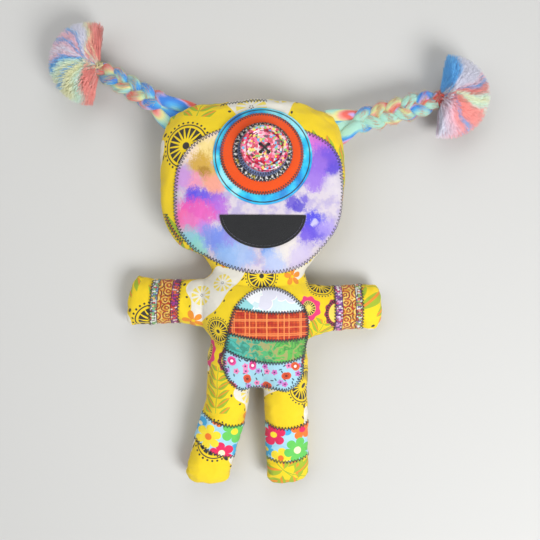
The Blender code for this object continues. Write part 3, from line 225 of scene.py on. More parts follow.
torso_left, torso_right = TORSO_MIDDLE_X - TORSO_WIDTH / 2, TORSO_MIDDLE_X + TORSO_WIDTH / 2
right_leg_in = TORSO_MIDDLE_X + CROTCH_WIDTH / 2
leg_width = TORSO_MIDDLE_X - CROTCH_WIDTH / 2 - torso_left
left_shoulder, right_shoulder = TORSO_MIDDLE_X - SHOULDER_OUT, TORSO_MIDDLE_X + SHOULDER_OUT
left_high = HIP_LINE_Y + TORSO_LENGTH
right_high = left_high - RIGHT_SHOULDER_DROP
left_low, right_low = left_high - LEFT_ARM_WIDTH, right_high - RIGHT_ARM_WIDTH
head_base = (left_high + right_high) / 2 + NECK_FOLD - RIGHT_SHOULDER_DROP / 2


def torso_side(side_x, inward, waist, shoulder_x, low, high):
    """Torso's side edge: sewn from the hip to the armpit, then open where the arm leaves it."""
    seam = [(side_x + inward * pull * TORSO_WIDTH, HIP_LINE_Y + up * (low - HIP_LINE_Y))
            for up, pull in waist]
    seam.append((shoulder_x, low))

    def edge(at):
        at = np.asarray(at, float)
        share = np.clip((at - SHOULDER_ROW) / (1.0 - SHOULDER_ROW), 0.0, 1.0)
        side = smooth_curve(seam, at / SHOULDER_ROW)
        root = straight((shoulder_x, low), (shoulder_x, high))(share)
        above = at > SHOULDER_ROW
        return with_loft(np.where(above[:, None], root, side),
                         np.where(above, lens(share, ARM_ROOT_HALF), 0.0))
    return edge


def hip_edge(at):
    """Torso's base edge: an open leg each side and the crotch seam between them."""
    x = torso_left + TORSO_WIDTH * np.asarray(at, float)
    left, right = (x - torso_left) / leg_width, (x - right_leg_in) / leg_width
    loft = np.where(x < TORSO_MIDDLE_X, lens(left, LEG_ROOT_HALF), lens(right, LEG_ROOT_HALF))
    return np.stack([x, np.full_like(x, HIP_LINE_Y), loft], axis=-1)


def neck_edge(at):
    """Torso's top edge: open to the neck, and dipping between the shoulders by a parabola."""
    at = np.asarray(at, float)
    line = straight((left_shoulder, left_high), (right_shoulder, right_high))(at)
    line[:, 1] -= NECK_DIP * 4.0 * at * (1.0 - at)
    return with_loft(line, lens(at, NECK_HALF))


def limb(first, second, tip, origin, out, up, root_half, crown, tip_height):
    """An arm or a leg; its first edge lies to the left when seen from its root."""
    left, right = outline(first, origin, out, up), outline(second, origin, out, up)
    return StuffedLength(sewn(left), sewn(right), opened(left[0], right[0], root_half),
                         sewn(outline(tip, origin, out, up)), crown, LIMB_TIP_POWER,
                         (TORSO_SEAM_HEIGHT, tip_height), LIMB_SEAM_EASE)


head_place = ((HEAD_MIDDLE_X, head_base), (HEAD_WIDTH, 0.0), (0.0, HEAD_LENGTH))
head_left, head_right = outline(HEAD_LEFT, *head_place), outline(HEAD_RIGHT, *head_place)
even_seam = (TORSO_SEAM_HEIGHT, TORSO_SEAM_HEIGHT)
lengths = {
    "torso": StuffedLength(torso_side(torso_left, 1, LEFT_WAIST, left_shoulder, left_low, left_high),
                           torso_side(torso_right, -1, RIGHT_WAIST, right_shoulder, right_low, right_high),
                           hip_edge, neck_edge, TORSO_CROWN, TORSO_TIP_POWER, even_seam, 1.0),
    "head": StuffedLength(sewn(head_left), sewn(head_right), opened(head_left[0], head_right[0], NECK_HALF),
                          sewn(outline(HEAD_TOP, *head_place)), HEAD_CROWN, HEAD_TIP_POWER,
                          (TORSO_SEAM_HEIGHT, HEAD_SEAM_HEIGHT), HEAD_SEAM_EASE),
    "left_arm": limb(LEFT_ARM_LOW, LEFT_ARM_HIGH, LEFT_HAND, (left_shoulder, left_low),
                     (-LEFT_ARM_LENGTH, 0.0), (0.0, LEFT_ARM_WIDTH), ARM_ROOT_HALF, ARM_CROWN,
                     HAND_SEAM_HEIGHT),
    "right_arm": limb(RIGHT_ARM_HIGH, RIGHT_ARM_LOW, RIGHT_HAND[::-1], (right_shoulder, right_low),
                      (RIGHT_ARM_LENGTH, 0.0), (0.0, RIGHT_ARM_WIDTH), ARM_ROOT_HALF, ARM_CROWN,
                      HAND_SEAM_HEIGHT),
    "left_leg": limb(LEFT_LEG_INNER, LEFT_LEG_OUTER, LEFT_FOOT, (torso_left, HIP_LINE_Y),
                     (0.0, -LEG_LENGTH), (leg_width, 0.0), LEG_ROOT_HALF, LEG_CROWN, FOOT_SEAM_HEIGHT),
    "right_leg": limb(RIGHT_LEG_OUTER, RIGHT_LEG_INNER, RIGHT_FOOT, (right_leg_in, HIP_LINE_Y),
                      (0.0, -LEG_LENGTH), (leg_width, 0.0), LEG_ROOT_HALF, LEG_CROWN, FOOT_SEAM_HEIGHT),
}
neck_ends = neck_edge(np.array([0.0, 1.0]))[:, :2]
lengths["neck"] = StuffedLength(sewn([neck_ends[0], head_left[0]]), sewn([neck_ends[1], head_right[0]]),
                                neck_edge, lengths["head"].base, 0.0, 1.0, even_seam, 1.0)

# Shares of the grid lines of each length: those of neighbours meet along their open edges.
hips = round_shares(LEG_CELLS) * leg_width / TORSO_WIDTH
crotch = np.linspace(hips[-1], 1.0 - hips[-1], CROTCH_CELLS + 1)[1:-1]
torso_across = np.concatenate([hips, crotch, 1.0 - hips[::-1]])
torso_along = np.concatenate([np.linspace(0.0, SHOULDER_ROW, WAIST_CELLS + 1),
                              SHOULDER_ROW + (1.0 - SHOULDER_ROW) * round_shares(SHOULDER_CELLS)[1:]])
grid_lines = {"torso": (torso_across, torso_along),
              "neck": (torso_across, np.linspace(0.0, 1.0, NECK_ROWS + 1)),
              "head": (torso_across, np.sin(np.linspace(0.0, math.pi / 2, HEAD_ROWS + 1)) * 0.5
                       + np.linspace(0.0, 0.5, HEAD_ROWS + 1))}
for name, cells, rows in (("left_arm", SHOULDER_CELLS, ARM_ROWS), ("right_arm", SHOULDER_CELLS, ARM_ROWS),
                          ("left_leg", LEG_CELLS, LEG_ROWS), ("right_leg", LEG_CELLS, LEG_ROWS)):
    along = np.linspace(0.0, 1.0, rows + 1)
    grid_lines[name] = (round_shares(cells), 0.7 * along + 0.3 * np.sin(along * math.pi / 2))


def grid_quads(rows, columns):
    """Corner numbers of the squares of a grid stored row by row."""
    corner = (np.arange(rows - 1)[:, None] * columns + np.arange(columns - 1)).ravel()
    return np.stack([corner, corner + 1, corner + columns + 1, corner + columns], axis=-1)


def skin_grids():
    """Points of every length's front and back grid, with the edges that they share made the same."""
    grids = {}
    for name, (across, along) in grid_lines.items():
        a, b = (m.ravel() for m in np.meshgrid(across, along))
        for front in (True, False):
            grids[name, front] = lengths[name].face(a, b, front).reshape(len(along), len(across), 3)
    for front in (True, False):
        torso = grids["torso", front]
        arm_rows, legs = slice(WAIST_CELLS, None), LEG_CELLS + 1
        grids["left_arm", front][0] = torso[arm_rows, 0]
        grids["right_arm", front][0] = torso[arm_rows, -1][::-1]
        grids["left_leg", front][0] = torso[0, :legs][::-1]
        grids["right_leg", front][0] = torso[0, -legs:][::-1]
        grids["neck", front][0] = torso[-1]
        grids["head", front][0] = grids["neck", front][-1]
    return grids


grids = skin_grids()
points, quads, owners, fronts = [], [], [], []
start = 0
for (name, front), grid in grids.items():
    rows, columns = grid.shape[:2]
    cells = grid_quads(rows, columns) + start
    points.append(grid.reshape(-1, 3))
    quads.append(cells if front else cells[:, ::-1])
    owners += ["head" if name == "neck" else name] * len(cells)
    fronts += [front] * len(cells)
    start += rows * columns
points, quads = np.concatenate(points), np.concatenate(quads)
owners, fronts = np.array(owners), np.array(fronts)
_, kept, number = np.unique(np.round(points, MERGE_DIGITS), axis=0, return_index=True,
                            return_inverse=True)
points, quads = points[kept], number.ravel()[quads]


def object_of(name, mesh, material=None):
    """A new object in the scene that holds the mesh."""
    item = bpy.data.objects.new(name, mesh)
    scene.collection.objects.link(item)
    if material is not None:
        mesh.materials.append(material)
    return item


def mesh_object(name, points, faces, material=None):
    """A new piece whose place is in its mesh, from an array of faces or a list of faces of any size."""
    mesh = bpy.data.meshes.new(name)
    faces = faces if isinstance(faces, list) else faces.tolist()
    mesh.from_pydata(np.asarray(points, float).tolist(), [], faces)
    mesh.shade_smooth()
    return object_of(name, mesh, material)


# The seam is every grid point that front and back share; the puckers are waves square to it.
SEAM_PUCKER = 0.0006
SEAM_WAVE, WAVE_WANDER = 0.0085, 0.35
PUCKER_REACH, PUCKER_START = 0.0100, 0.0040
SPARE_CLOTH = 0.055
TAUT_FROM = 0.0260
MOST_MOVE = 0.0045
SETTLE_FRAMES = 22
SEAM_TUCK = 0.0007
SKIN_LEVELS = 2
BACK_PANEL_SHIFT = 0.4170


def seam_order(quads, fronts):
    """Numbers of the seam's points in order round the doll.

    It is the walk along the edges that belong to a front square and to a back one.
    """
    sides = {}
    for cell, front in zip(quads.tolist(), fronts.tolist()):
        for a, b in zip(cell, cell[1:] + cell[:1]):
            sides.setdefault((min(a, b), max(a, b)), set()).add(front)
    near = {}
    for (a, b), both in sides.items():
        if len(both) == 2:
            near.setdefault(a, []).append(b)
            near.setdefault(b, []).append(a)
    walk = [min(near)]
    while True:
        ahead = [n for n in near[walk[-1]] if n not in walk[-2:]]
        if not ahead or ahead[0] == walk[0]:
            return np.array(walk)
        walk.append(ahead[0])


seam = seam_order(quads, fronts)
gaps = np.linalg.norm(points[:, None] - points[seam][None], axis=2)
nearest = gaps.argmin(axis=1)
seam_gap = gaps.min(axis=1)
waves = path_gone(points[seam])[nearest] / SEAM_WAVE * 2 * math.pi
chance = np.random.default_rng(4)
wander = np.cumsum(chance.normal(0.0, WAVE_WANDER, len(seam)))[nearest]
lift = (SEAM_PUCKER * np.sin(waves + wander) * np.exp(-seam_gap / PUCKER_REACH)
        * ease(seam_gap / PUCKER_START))


def point_normals(points, quads):
    """Normal at each point: the sum of the cross products of its squares' diagonals, made unit length."""
    corners = points[quads]
    faces = np.cross(corners[:, 2] - corners[:, 0], corners[:, 3] - corners[:, 1])
    total = np.zeros_like(points)
    for k in range(4):
        np.add.at(total, quads[:, k], faces)
    return total / np.linalg.norm(total, axis=1, keepdims=True)


normals = point_normals(points, quads)
formed = points + lift[:, None] * normals
skin = mesh_object("doll_skin", formed, quads)


def settled(item, seam, taut):
    """Where a stuffed skin comes to rest: pressed outwards from inside and held at its seam.

    It has some spare cloth, all of it near the seam and less the higher its taut weight is.
    """
    held = item.vertex_groups.new(name="held")
    held.add(seam.tolist(), 1.0, "REPLACE")
    tight = item.vertex_groups.new(name="tight")
    for number, weight in enumerate(taut.tolist()):
        tight.add([number], weight, "REPLACE")
    cloth = item.modifiers.new("cloth", "CLOTH")
    cloth.settings.quality = 6
    cloth.settings.mass = 0.15
    cloth.settings.tension_stiffness = 12
    cloth.settings.compression_stiffness = 12
    cloth.settings.shear_stiffness = 6
    cloth.settings.bending_stiffness = 0.15
    cloth.settings.use_pressure = True
    cloth.settings.uniform_pressure_force = 4.0
    cloth.settings.vertex_group_mass = "held"
    cloth.settings.vertex_group_shrink = "tight"
    cloth.settings.shrink_min = -SPARE_CLOTH
    cloth.settings.shrink_max = 0.0
    cloth.settings.effector_weights.gravity = 0.0
    cloth.collision_settings.use_collision = False
    cloth.point_cache.frame_end = SETTLE_FRAMES
    for number in range(1, SETTLE_FRAMES + 1):
        scene.frame_set(number)
    ready = item.evaluated_get(bpy.context.evaluated_depsgraph_get()).to_mesh()
    rest = np.empty(len(ready.vertices) * 3, np.float32)
    ready.vertices.foreach_get("co", rest)
    item.modifiers.remove(cloth)
    item.vertex_groups.clear()
    scene.frame_set(1)
    return rest.reshape(-1, 3).astype(float)


rest = settled(skin, seam, ease(seam_gap / TAUT_FROM))
move = rest - formed
size = np.linalg.norm(move, axis=1, keepdims=True)
formed = formed + move * np.minimum(1.0, MOST_MOVE / np.maximum(size, 1e-9))
formed[seam] -= SEAM_TUCK * normals[seam]
formed[:, 2] = np.maximum(formed[:, 2], 0.0)
skin.data.vertices.foreach_set("co", formed.astype(np.float32).ravel())
skin.data.update()


def flat_cross(one, two):
    """Cross products of two lists of ways in the plan."""
    return one[:, 0] * two[:, 1] - one[:, 1] * two[:, 0]


def laid_flat(item, points, quads, fronts, seam):
    """Flat place on the cotton of each corner of the skin, in metres, with the least stretch.

    The two panels are cut free along the seam and unrolled. Each is then brought to true size and
    turned by the rotation that best fits the doll's plan.
    """
    walk = set(zip(seam.tolist(), np.roll(seam, -1).tolist()))
    for edge in item.data.edges:
        a, b = edge.vertices
        edge.use_seam = (a, b) in walk or (b, a) in walk
    bpy.context.view_layer.objects.active = item
    item.select_set(True)
    bpy.ops.object.mode_set(mode="EDIT")
    bpy.ops.mesh.select_all(action="SELECT")
    bpy.ops.uv.unwrap(method="ANGLE_BASED", margin=0.01)
    bpy.ops.object.mode_set(mode="OBJECT")
    layer = item.data.uv_layers.active
    flat = np.empty(len(quads) * 8, np.float32)
    layer.data.foreach_get("uv", flat)
    flat = flat.reshape(-1, 4, 2).astype(float)
    corners = points[quads]
    for front in (True, False):
        part = fronts == front
        here, plan = flat[part].reshape(-1, 2), corners[part][..., :2].reshape(-1, 2)
        if not front:
            plan = plan * (-1.0, 1.0)
        full = np.linalg.norm(np.cross(corners[part][:, 2] - corners[part][:, 0],
                                       corners[part][:, 3] - corners[part][:, 1]), axis=1).sum()
        one, two = (flat[part][:, k + 2] - flat[part][:, k] for k in (0, 1))
        size = math.sqrt(full / np.abs(flat_cross(one, two)).sum())
        here, plan = (here - here.mean(axis=0)) * size, plan - plan.mean(axis=0)
        left, _, right = np.linalg.svd(here.T @ plan)
        flat[part] = (here @ (left @ right)).reshape(-1, 4, 2) + (0.0 if front else BACK_PANEL_SHIFT)
    layer.data.foreach_set("uv", flat.astype(np.float32).ravel())
    layer.name = "flat"


laid_flat(skin, points, quads, fronts, seam)
owner_names = ["torso", "head", "left_arm", "right_arm", "left_leg", "right_leg"]
for name in owner_names:
    skin.data.materials.append(bpy.data.materials.new(f"place_{name}"))
skin.data.polygons.foreach_set("material_index", [owner_names.index(n) for n in owners])
attribute = skin.data.attributes.new("seam_gap", "FLOAT", "POINT")
attribute.data.foreach_set("value", seam_gap.astype(np.float32))
smooth = skin.modifiers.new("smooth", "SUBSURF")
smooth.levels = smooth.render_levels = SKIN_LEVELS
whole = skin.evaluated_get(bpy.context.evaluated_depsgraph_get()).to_mesh()


def numbers_of(collection, name, kind, width):
    """One property of all a mesh's elements, as an array."""
    values = np.empty(len(collection) * width, kind)
    collection.foreach_get(name, values)
    return values.reshape(-1, width) if width > 1 else values


skin_points = numbers_of(whole.vertices, "co", np.float32, 3).astype(float)
skin_points[:, 2] = np.maximum(skin_points[:, 2], 0.0)
skin_quads = numbers_of(whole.loops, "vertex_index", np.int32, 1).reshape(-1, 4)
skin_owner = numbers_of(whole.polygons, "material_index", np.int32, 1)
skin_flat = numbers_of(whole.uv_layers["flat"].data, "uv", np.float32, 2).reshape(-1, 4, 2)
skin_gap = numbers_of(whole.attributes["seam_gap"].data, "value", np.float32, 1)
skin_normals = point_normals(skin_points, skin_quads)
bpy.data.objects.remove(skin)
skin_tree = BVHTree.FromPolygons(skin_points.tolist(), skin_quads.tolist())


def dye(red, green, blue):
    """Linear colour of a dye seen as these 8-bit values on a screen."""
    seen = np.array([red, green, blue]) / 255.0
    return (*np.where(seen <= 0.04045, seen / 12.92, ((seen + 0.055) / 1.055) ** 2.4), 1.0)


class Term:
    """A number that a material's nodes work out. Arithmetic on it adds Math nodes."""

    def __init__(self, tree, socket):
        self.tree, self.socket = tree, socket

    def to(self, operation, *others, clamp=False):
        """The result of a Math node, with this number first and the others after it."""
        node = self.tree.nodes.new("ShaderNodeMath")
        node.operation, node.use_clamp = operation, clamp
        for place, value in zip(node.inputs, (self, *others)):
            if isinstance(value, Term):
                self.tree.links.new(value.socket, place)
            else:
                place.default_value = value
        return Term(self.tree, node.outputs[0])

    def __add__(self, other):
        return self.to("ADD", other)

    def __sub__(self, other):
        return self.to("SUBTRACT", other)

    def __mul__(self, other):
        return self.to("MULTIPLY", other)

    def size(self):
        """The number without its sign."""
        return self.to("ABSOLUTE")

    def over(self, limit, soft):
        """1 where the number is over a limit, 0 where it is under, with a soft step between."""
        return (self - limit).to("MULTIPLY_ADD", 1.0 / soft, 0.5, clamp=True)

    def under(self, limit, soft):
        """1 where the number is under a limit, 0 where it is over, with a soft step between."""
        return (self - limit).to("MULTIPLY_ADD", -1.0 / soft, 0.5, clamp=True)

    def less(self, value):
        """value less this number."""
        return self.to("MULTIPLY_ADD", -1.0, value)


class Finish:
    """A material in the making: its shader, the places that feed it, and its noises and mixes."""

    def __init__(self, name, roughness, sheen=0.0):
        self.material = bpy.data.materials.new(name)
        self.material.use_nodes = True
        self.tree = self.material.node_tree
        self.shader = self.tree.nodes["Principled BSDF"]
        self.shader.inputs["Roughness"].default_value = roughness
        self.shader.inputs["Sheen Weight"].default_value = sheen

    def node(self, kind, links=(), **settings):
        """A new node with its settings made, and its inputs linked or given a value."""
        node = self.tree.nodes.new(kind)
        for name, value in settings.items():
            setattr(node, name, value)
        for place, value in dict(links).items():
            value = value.socket if isinstance(value, Term) else value
            if isinstance(value, bpy.types.NodeSocket):
                self.tree.links.new(value, node.inputs[place])
            else:
                node.inputs[place].default_value = value
        return node

    def flat(self):
        """Place on the cloth in metres: the vector, and its two numbers."""
        place = self.node("ShaderNodeUVMap", uv_map="flat").outputs["UV"]
        u, v, _ = self.parts(place)
        return place, u, v

    def inside(self):
        """Place in the object."""
        return self.node("ShaderNodeTexCoord").outputs["Object"]

    def stretched(self, place, scale=(1.0, 1.0, 1.0), shift=(0.0, 0.0, 0.0)):
        """The place times a scale, then moved by a shift."""
        links = {"Vector": place, "Scale": scale, "Location": shift}
        return self.node("ShaderNodeMapping", links).outputs["Vector"]

    def noise(self, place, grain, detail=2.0, rough=0.5):
        """Noise whose grains are about that size in metres."""
        links = {"Vector": place, "Scale": 1.0 / grain, "Detail": detail, "Roughness": rough}
        return Term(self.tree, self.node("ShaderNodeTexNoise", links).outputs["Fac"])

    def moved(self, place, grain, most):
        """The place moved about by a noise, by at most about that much."""
        node = self.node("ShaderNodeTexNoise", {"Vector": place, "Scale": 1.0 / grain, "Detail": 2.0})
        centred = self.node("ShaderNodeVectorMath", {0: node.outputs["Color"], 1: (0.5, 0.5, 0.5)},
                            operation="SUBTRACT")
        scaled = self.node("ShaderNodeVectorMath", {0: centred.outputs[0], "Scale": 2.0 * most},
                           operation="SCALE")
        added = self.node("ShaderNodeVectorMath", {0: place, 1: scaled.outputs[0]}, operation="ADD")
        return added.outputs[0]

    def parts(self, place):
        """The three numbers of a place or a colour."""
        outputs = self.node("ShaderNodeSeparateXYZ", {0: place}).outputs
        return [Term(self.tree, outputs[k]) for k in range(3)]

    def mix(self, share, first, second):
        """A colour between two others."""
        return self.node("ShaderNodeMix", {0: share, 6: first, 7: second}, data_type="RGBA").outputs[2]

    def bands(self, share, colours, step="LINEAR"):
        """A colour out of a row of (place, colour), picked by a number from 0 to 1."""
        node = self.node("ShaderNodeValToRGB", {"Fac": share})
        ramp = node.color_ramp
        ramp.interpolation = step
        while len(ramp.elements) < len(colours):
            ramp.elements.new(1.0)
        for element, (place, colour) in zip(ramp.elements, colours):
            element.position, element.color = place, colour
        return node.outputs["Color"]

    def shaded(self, colour, share, low):
        """The colour, made darker where share is small, down to low times itself."""
        factor = share.to("MULTIPLY_ADD", 1.0 - low, low)
        node = self.node("ShaderNodeVectorMath", {0: colour, "Scale": factor}, operation="SCALE")
        return node.outputs[0]

    def colour(self, socket):
        self.tree.links.new(socket, self.shader.inputs["Base Color"])

    def relief(self, *heights):
        """Bumps from (number, height in metres) pairs, one on the other."""
        normal = None
        for term, depth in heights:
            node = self.node("ShaderNodeBump", {"Height": term, "Distance": depth, "Strength": 1.0})
            if normal is not None:
                self.tree.links.new(normal, node.inputs["Normal"])
            normal = node.outputs["Normal"]
        self.tree.links.new(normal, self.shader.inputs["Normal"])


WEAVE_PITCH, WEAVE_DEPTH = 0.00055, 0.00005
CREASE_GRAIN, CREASE_DEPTH = 0.011, 0.0011


def weave(u, v, pitch=WEAVE_PITCH):
    """Plain weave: the product of two sine waves, one along each thread."""
    turn = 2 * math.pi / pitch
    return (u * turn).to("SINE") * (v * turn).to("SINE")


def cotton_relief(finish, place, u, v):
    """Weave, and soft creases of a cloth that was handled."""
    finish.relief((finish.noise(place, CREASE_GRAIN, 3.0), CREASE_DEPTH), (weave(u, v), WEAVE_DEPTH))


# Print of the skin's cotton: white islands, petalled wheels, round flowers, leaf sprigs and small
# flowers, in a repeat that is turned on the cloth.
PRINT_TILE = 0.1150
PRINT_TURN = math.radians(24.0)
INK_EDGE = 0.0003
SEAM_SHADE_REACH = 0.0022
NECK_BEND_FROM, NECK_BEND_TO = 0.0500, 0.0560
YELLOW, DEEP_YELLOW = dye(250, 222, 28), dye(244, 206, 18)
CHARCOAL, WHITE, PALE_YELLOW = dye(58, 54, 50), dye(238, 234, 222), dye(244, 222, 96)
LEAF_GREEN, ORANGE = dye(164, 188, 44), dye(240, 148, 40)
MAGENTA, HOT_PINK = dye(170, 44, 84), dye(238, 60, 124)


def around(u, v, x, y, turn=0.0):
    """Distances across and up from the nearest repeat of a motif's middle, then turned."""
    half = PRINT_TILE / 2
    a, b = (u - x).to("WRAP", half, -half), (v - y).to("WRAP", half, -half)
    if not turn:
        return a, b
    c, s = math.cos(turn), math.sin(turn)
    return a * c + b * s, b * c - a * s


def polar(a, b):
    """Distance and angle of a place."""
    return (a * a + b * b).to("SQRT"), b.to("ARCTAN2", a)


def beads(r, angle, reach, count, radius):
    """A ring of round dots: near the ring, and near the middle of each of its equal steps."""
    half = math.pi / count
    along = angle.to("WRAP", half, -half) * reach
    return polar(along, r - reach)[0].under(radius, INK_EDGE)


def petal_ring(r, angle, low, high, count, width):
    """Petals that widen outwards between two distances: a cosine of the angle over a falling limit."""
    lobe = (angle * (count / 2)).to("COSINE").size()
    limit = ((r - low) * (-width / (high - low))).to("ADD", 1.0)
    return lobe.over(limit, 0.10) * r.over(low, INK_EDGE) * r.under(high, INK_EDGE)


def wheel(r, angle, size):
    """A charcoal wheel: a dot, petals, a ring and beads."""
    petals = petal_ring(r, angle, 0.28 * size, 0.72 * size, 18, 0.75)
    ring = (r - 0.84 * size).size().under(0.025 * size, INK_EDGE)
    dot = r.under(0.14 * size, INK_EDGE)
    return dot.to("MAXIMUM", petals).to("MAXIMUM", ring).to(
        "MAXIMUM", beads(r, angle, 0.95 * size, 30, 0.045 * size))


def sprig(a, b, length, size):
    """Leaf pairs along a stem: lens shapes repeated along it, slanting forward; gives leaves and veins."""
    away = b.size()
    step = (a - away * 0.75).to("WRAP", 0.0040 * size, -0.0040 * size)
    across = (away - 0.0062 * size) * (1.0 / (0.0058 * size))
    room = (across * across).less(1.0)
    leaf = (step.size() * (1.0 / (0.0031 * size))).under(room, 0.12) * a.size().under(length, INK_EDGE)
    stem = away.under(0.00035, INK_EDGE) * a.size().under(length, INK_EDGE)
    vein = (step - 0.0007 * size).size().under(0.0007 * size, INK_EDGE) * leaf
    return leaf.to("MAXIMUM", stem), vein


def doll_print(finish, u, v):
    """The whole print, each motif over those before it."""
    c, s = math.cos(PRINT_TURN), math.sin(PRINT_TURN)
    u, v = u * c + v * s, v * c - u * s
    colour = finish.mix(finish.noise(finish.flat()[0], 0.045, 2.0), YELLOW, DEEP_YELLOW)
    for x, y, turn, size in ((0.078, 0.030, 0.5, 0.0240), (0.024, 0.094, 2.2, 0.0160)):
        a, b = around(u, v, x, y, turn)
        r, angle = polar(a * 0.72, b * 1.20)
        wobble = (angle * 3.0).to("SINE") * 0.15 + (angle * 5.0 + 1.0).to("SINE") * 0.10
        reach = r * (wobble + 1.0)
        colour = finish.mix(reach.under(size, INK_EDGE), colour, WHITE)
        colour = finish.mix(beads(reach, angle, size * 1.09, 16, 0.0010), colour, CHARCOAL)
        for side in (-1, 1):
            r, angle = polar(a + side * 0.50 * size, b - 0.16 * side * size)
            petals = petal_ring(r, angle, 0.14 * size, 0.42 * size, 11, 0.55)
            colour = finish.mix(petals, colour, PALE_YELLOW)
            colour = finish.mix(beads(r, angle, 0.05 * size, 5, 0.00045), colour, CHARCOAL)
    for x, y, turn, length, size in ((0.044, 0.056, 0.9, 0.021, 1.05),
                                     (0.100, 0.082, 2.4, 0.024, 1.50),
                                     (0.008, 0.066, -0.5, 0.015, 1.25)):
        leaf, vein = sprig(*around(u, v, x, y, turn), length, size)
        colour = finish.mix(vein, finish.mix(leaf, colour, LEAF_GREEN), ORANGE)
    for x, y, size in ((0.016, 0.024, 0.0170), (0.070, 0.104, 0.0140)):
        r, angle = polar(*around(u, v, x, y))
        colour = finish.mix(wheel(r, angle, size), colour, CHARCOAL)
    r, angle = polar(*around(u, v, 0.070, 0.074))
    reach = (angle * 11.0).to("COSINE") * 0.0006 + 0.0122
    colour = finish.mix(r.under(reach, INK_EDGE), colour, MAGENTA)
    colour = finish.mix(petal_ring(r, angle, 0.0088, 0.0114, 30, 0.9), colour, CHARCOAL)
    colour = finish.mix(r.under(0.0086, INK_EDGE), colour, PALE_YELLOW)
    colour = finish.mix(beads(r, angle, 0.0026, 6, 0.0006), colour, CHARCOAL)
    r, angle = polar(*around(u, v, 0.046, 0.089))
    reach = (angle * 8.0).to("COSINE") * 0.0009 + 0.0118
    colour = finish.mix(r.under(reach, INK_EDGE), colour, HOT_PINK)
    colour = finish.mix(r.under(0.0074, INK_EDGE), colour, PALE_YELLOW)
    colour = finish.mix(petal_ring(r, angle, 0.0030, 0.0070, 16, 0.6), colour, CHARCOAL)
    for x, y, size in ((0.046, 0.010, 0.0100), (0.104, 0.054, 0.0085)):
        r, angle = polar(*around(u, v, x, y))
        reach = (angle * 2.5).to("COSINE").size().to("POWER", 0.55) * size
        colour = finish.mix(r.under(reach, INK_EDGE), colour, ORANGE)
        colour = finish.mix(r.under(0.0016, INK_EDGE), colour, DEEP_YELLOW)
    return colour


yellow = Finish("yellow_printed_cotton", 0.82, 0.12)
cloth_place, cloth_u, cloth_v = yellow.flat()
handled = yellow.noise(cloth_place, 0.016, 3.0).to("MULTIPLY_ADD", 1.2, 0.2, clamp=True)
from_seam = yellow.node("ShaderNodeAttribute", attribute_name="seam_gap").outputs["Fac"]
# Painted shade: the cloth is made darker within about two millimetres of the seam, where the two panels turn
# in.
seam_shade_share = (Term(yellow.tree, from_seam) * (1 / SEAM_SHADE_REACH)).to("ADD", 0.0, clamp=True)
inked = yellow.shaded(doll_print(yellow, cloth_u, cloth_v), handled, 0.86)
yellow.colour(yellow.shaded(inked, seam_shade_share, 0.70))
cotton_relief(yellow, cloth_place, cloth_u, cloth_v)

# Where a piece leaves the torso: the node of its fold, which is hidden, and two places across
# the fold, which nothing here uses.
neck_low, neck_high = (0.0, NECK_BEND_FROM, TORSO_SEAM_HEIGHT), (0.0, NECK_BEND_TO, TORSO_SEAM_HEIGHT)
hip_ends = ((0.0, HIP_LINE_Y, 0.0), (0.0, HIP_LINE_Y - HIP_FOLD, 0.0))
bends = {
    "head": ("neck_fold", neck_low, neck_high),
    "left_arm": ("left_shoulder_fold", (left_shoulder, 0.0, 0.0),
                 (left_shoulder - SHOULDER_FOLD, 0.0, 0.0)),
    "right_arm": ("right_shoulder_fold", (right_shoulder, 0.0, 0.0),
                  (right_shoulder + SHOULDER_FOLD, 0.0, 0.0)),
    "left_leg": ("left_hip_fold", *hip_ends),
    "right_leg": ("right_hip_fold", *hip_ends),
}
for name in owner_names:
    part = skin_owner == owner_names.index(name)
    used, corners = np.unique(skin_quads[part], return_inverse=True)
    piece = mesh_object(f"{name}_skin", skin_points[used], corners.reshape(-1, 4), yellow.material)
    piece.data.uv_layers.new(name="flat").data.foreach_set("uv", skin_flat[part].ravel())
    attribute = piece.data.attributes.new("seam_gap", "FLOAT", "POINT")
    attribute.data.foreach_set("value", skin_gap[used])
    piece.data.normals_split_custom_set_from_vertices(skin_normals[used].tolist())
    folds = [bends[name][0]] if name in bends else []
    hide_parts(f"{name}_front_cover", f"{name}_back_cover", f"{name}_stuffing", *folds)
    if name == "torso":
        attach(piece, "torso")
    else:
        _, root, leaves = bends[name]
        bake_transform(piece)


# Face: a panel of tie-dyed cotton, laid on the head and stitched round its raw edge by a dark
# zigzag. The cloth is a little puffed between the stitches.
FACE_WIDTH, FACE_LENGTH, FACE_X, FACE_Y = 0.1290, 0.1190, 0.0005, 0.1150
FACE_OUTLINE = ((0.508, 0.02), (0.494, 0.20), (0.422, 0.318), (0.270, 0.395), (0.03, 0.465),
                (-0.220, 0.396), (-0.380, 0.309), (-0.470, 0.170), (-0.500, -0.02), (-0.490, -0.20),
                (-0.420, -0.325), (-0.290, -0.420), (-0.130, -0.488), (0.080, -0.510),
                (0.258, -0.470), (0.382, -0.360), (0.486, -0.182))
FACE_POINTS, FACE_RINGS, FACE_PUFF = 260, 30, 0.0004
CLOTH_LOW, CLOTH_HIGH = 0.0001, 0.0008
CUT_INNER, CUT_EDGE = 0.985, (0.993, 0.998, 1.0, 0.996, 0.6)
PUFF_AT, PUFF_WIDTH, SAME_RISE = 0.93, 0.04, 1e-9
STITCH_RADIUS, STITCH_SIDES = 0.00027, 5
STITCH_SHARES = np.array([0.0, 0.10, 0.5, 0.90, 1.0])
STITCH_ARCH = np.array([-0.4, 0.75, 1.0, 0.75, -0.4])
STEP_SHARE = 0.35
ZIGZAG_STEP, ZIGZAG_IN, ZIGZAG_OUT = 0.0027, 0.0031, 0.0010
COARSE_LINES, BATCH, NEWTON_STEPS, NUDGE = 41, 2000, 8, 1e-4
LEAST_AREA, MOST_STEP = 1e-9, 0.1
SHARE_STEP = 2e-3
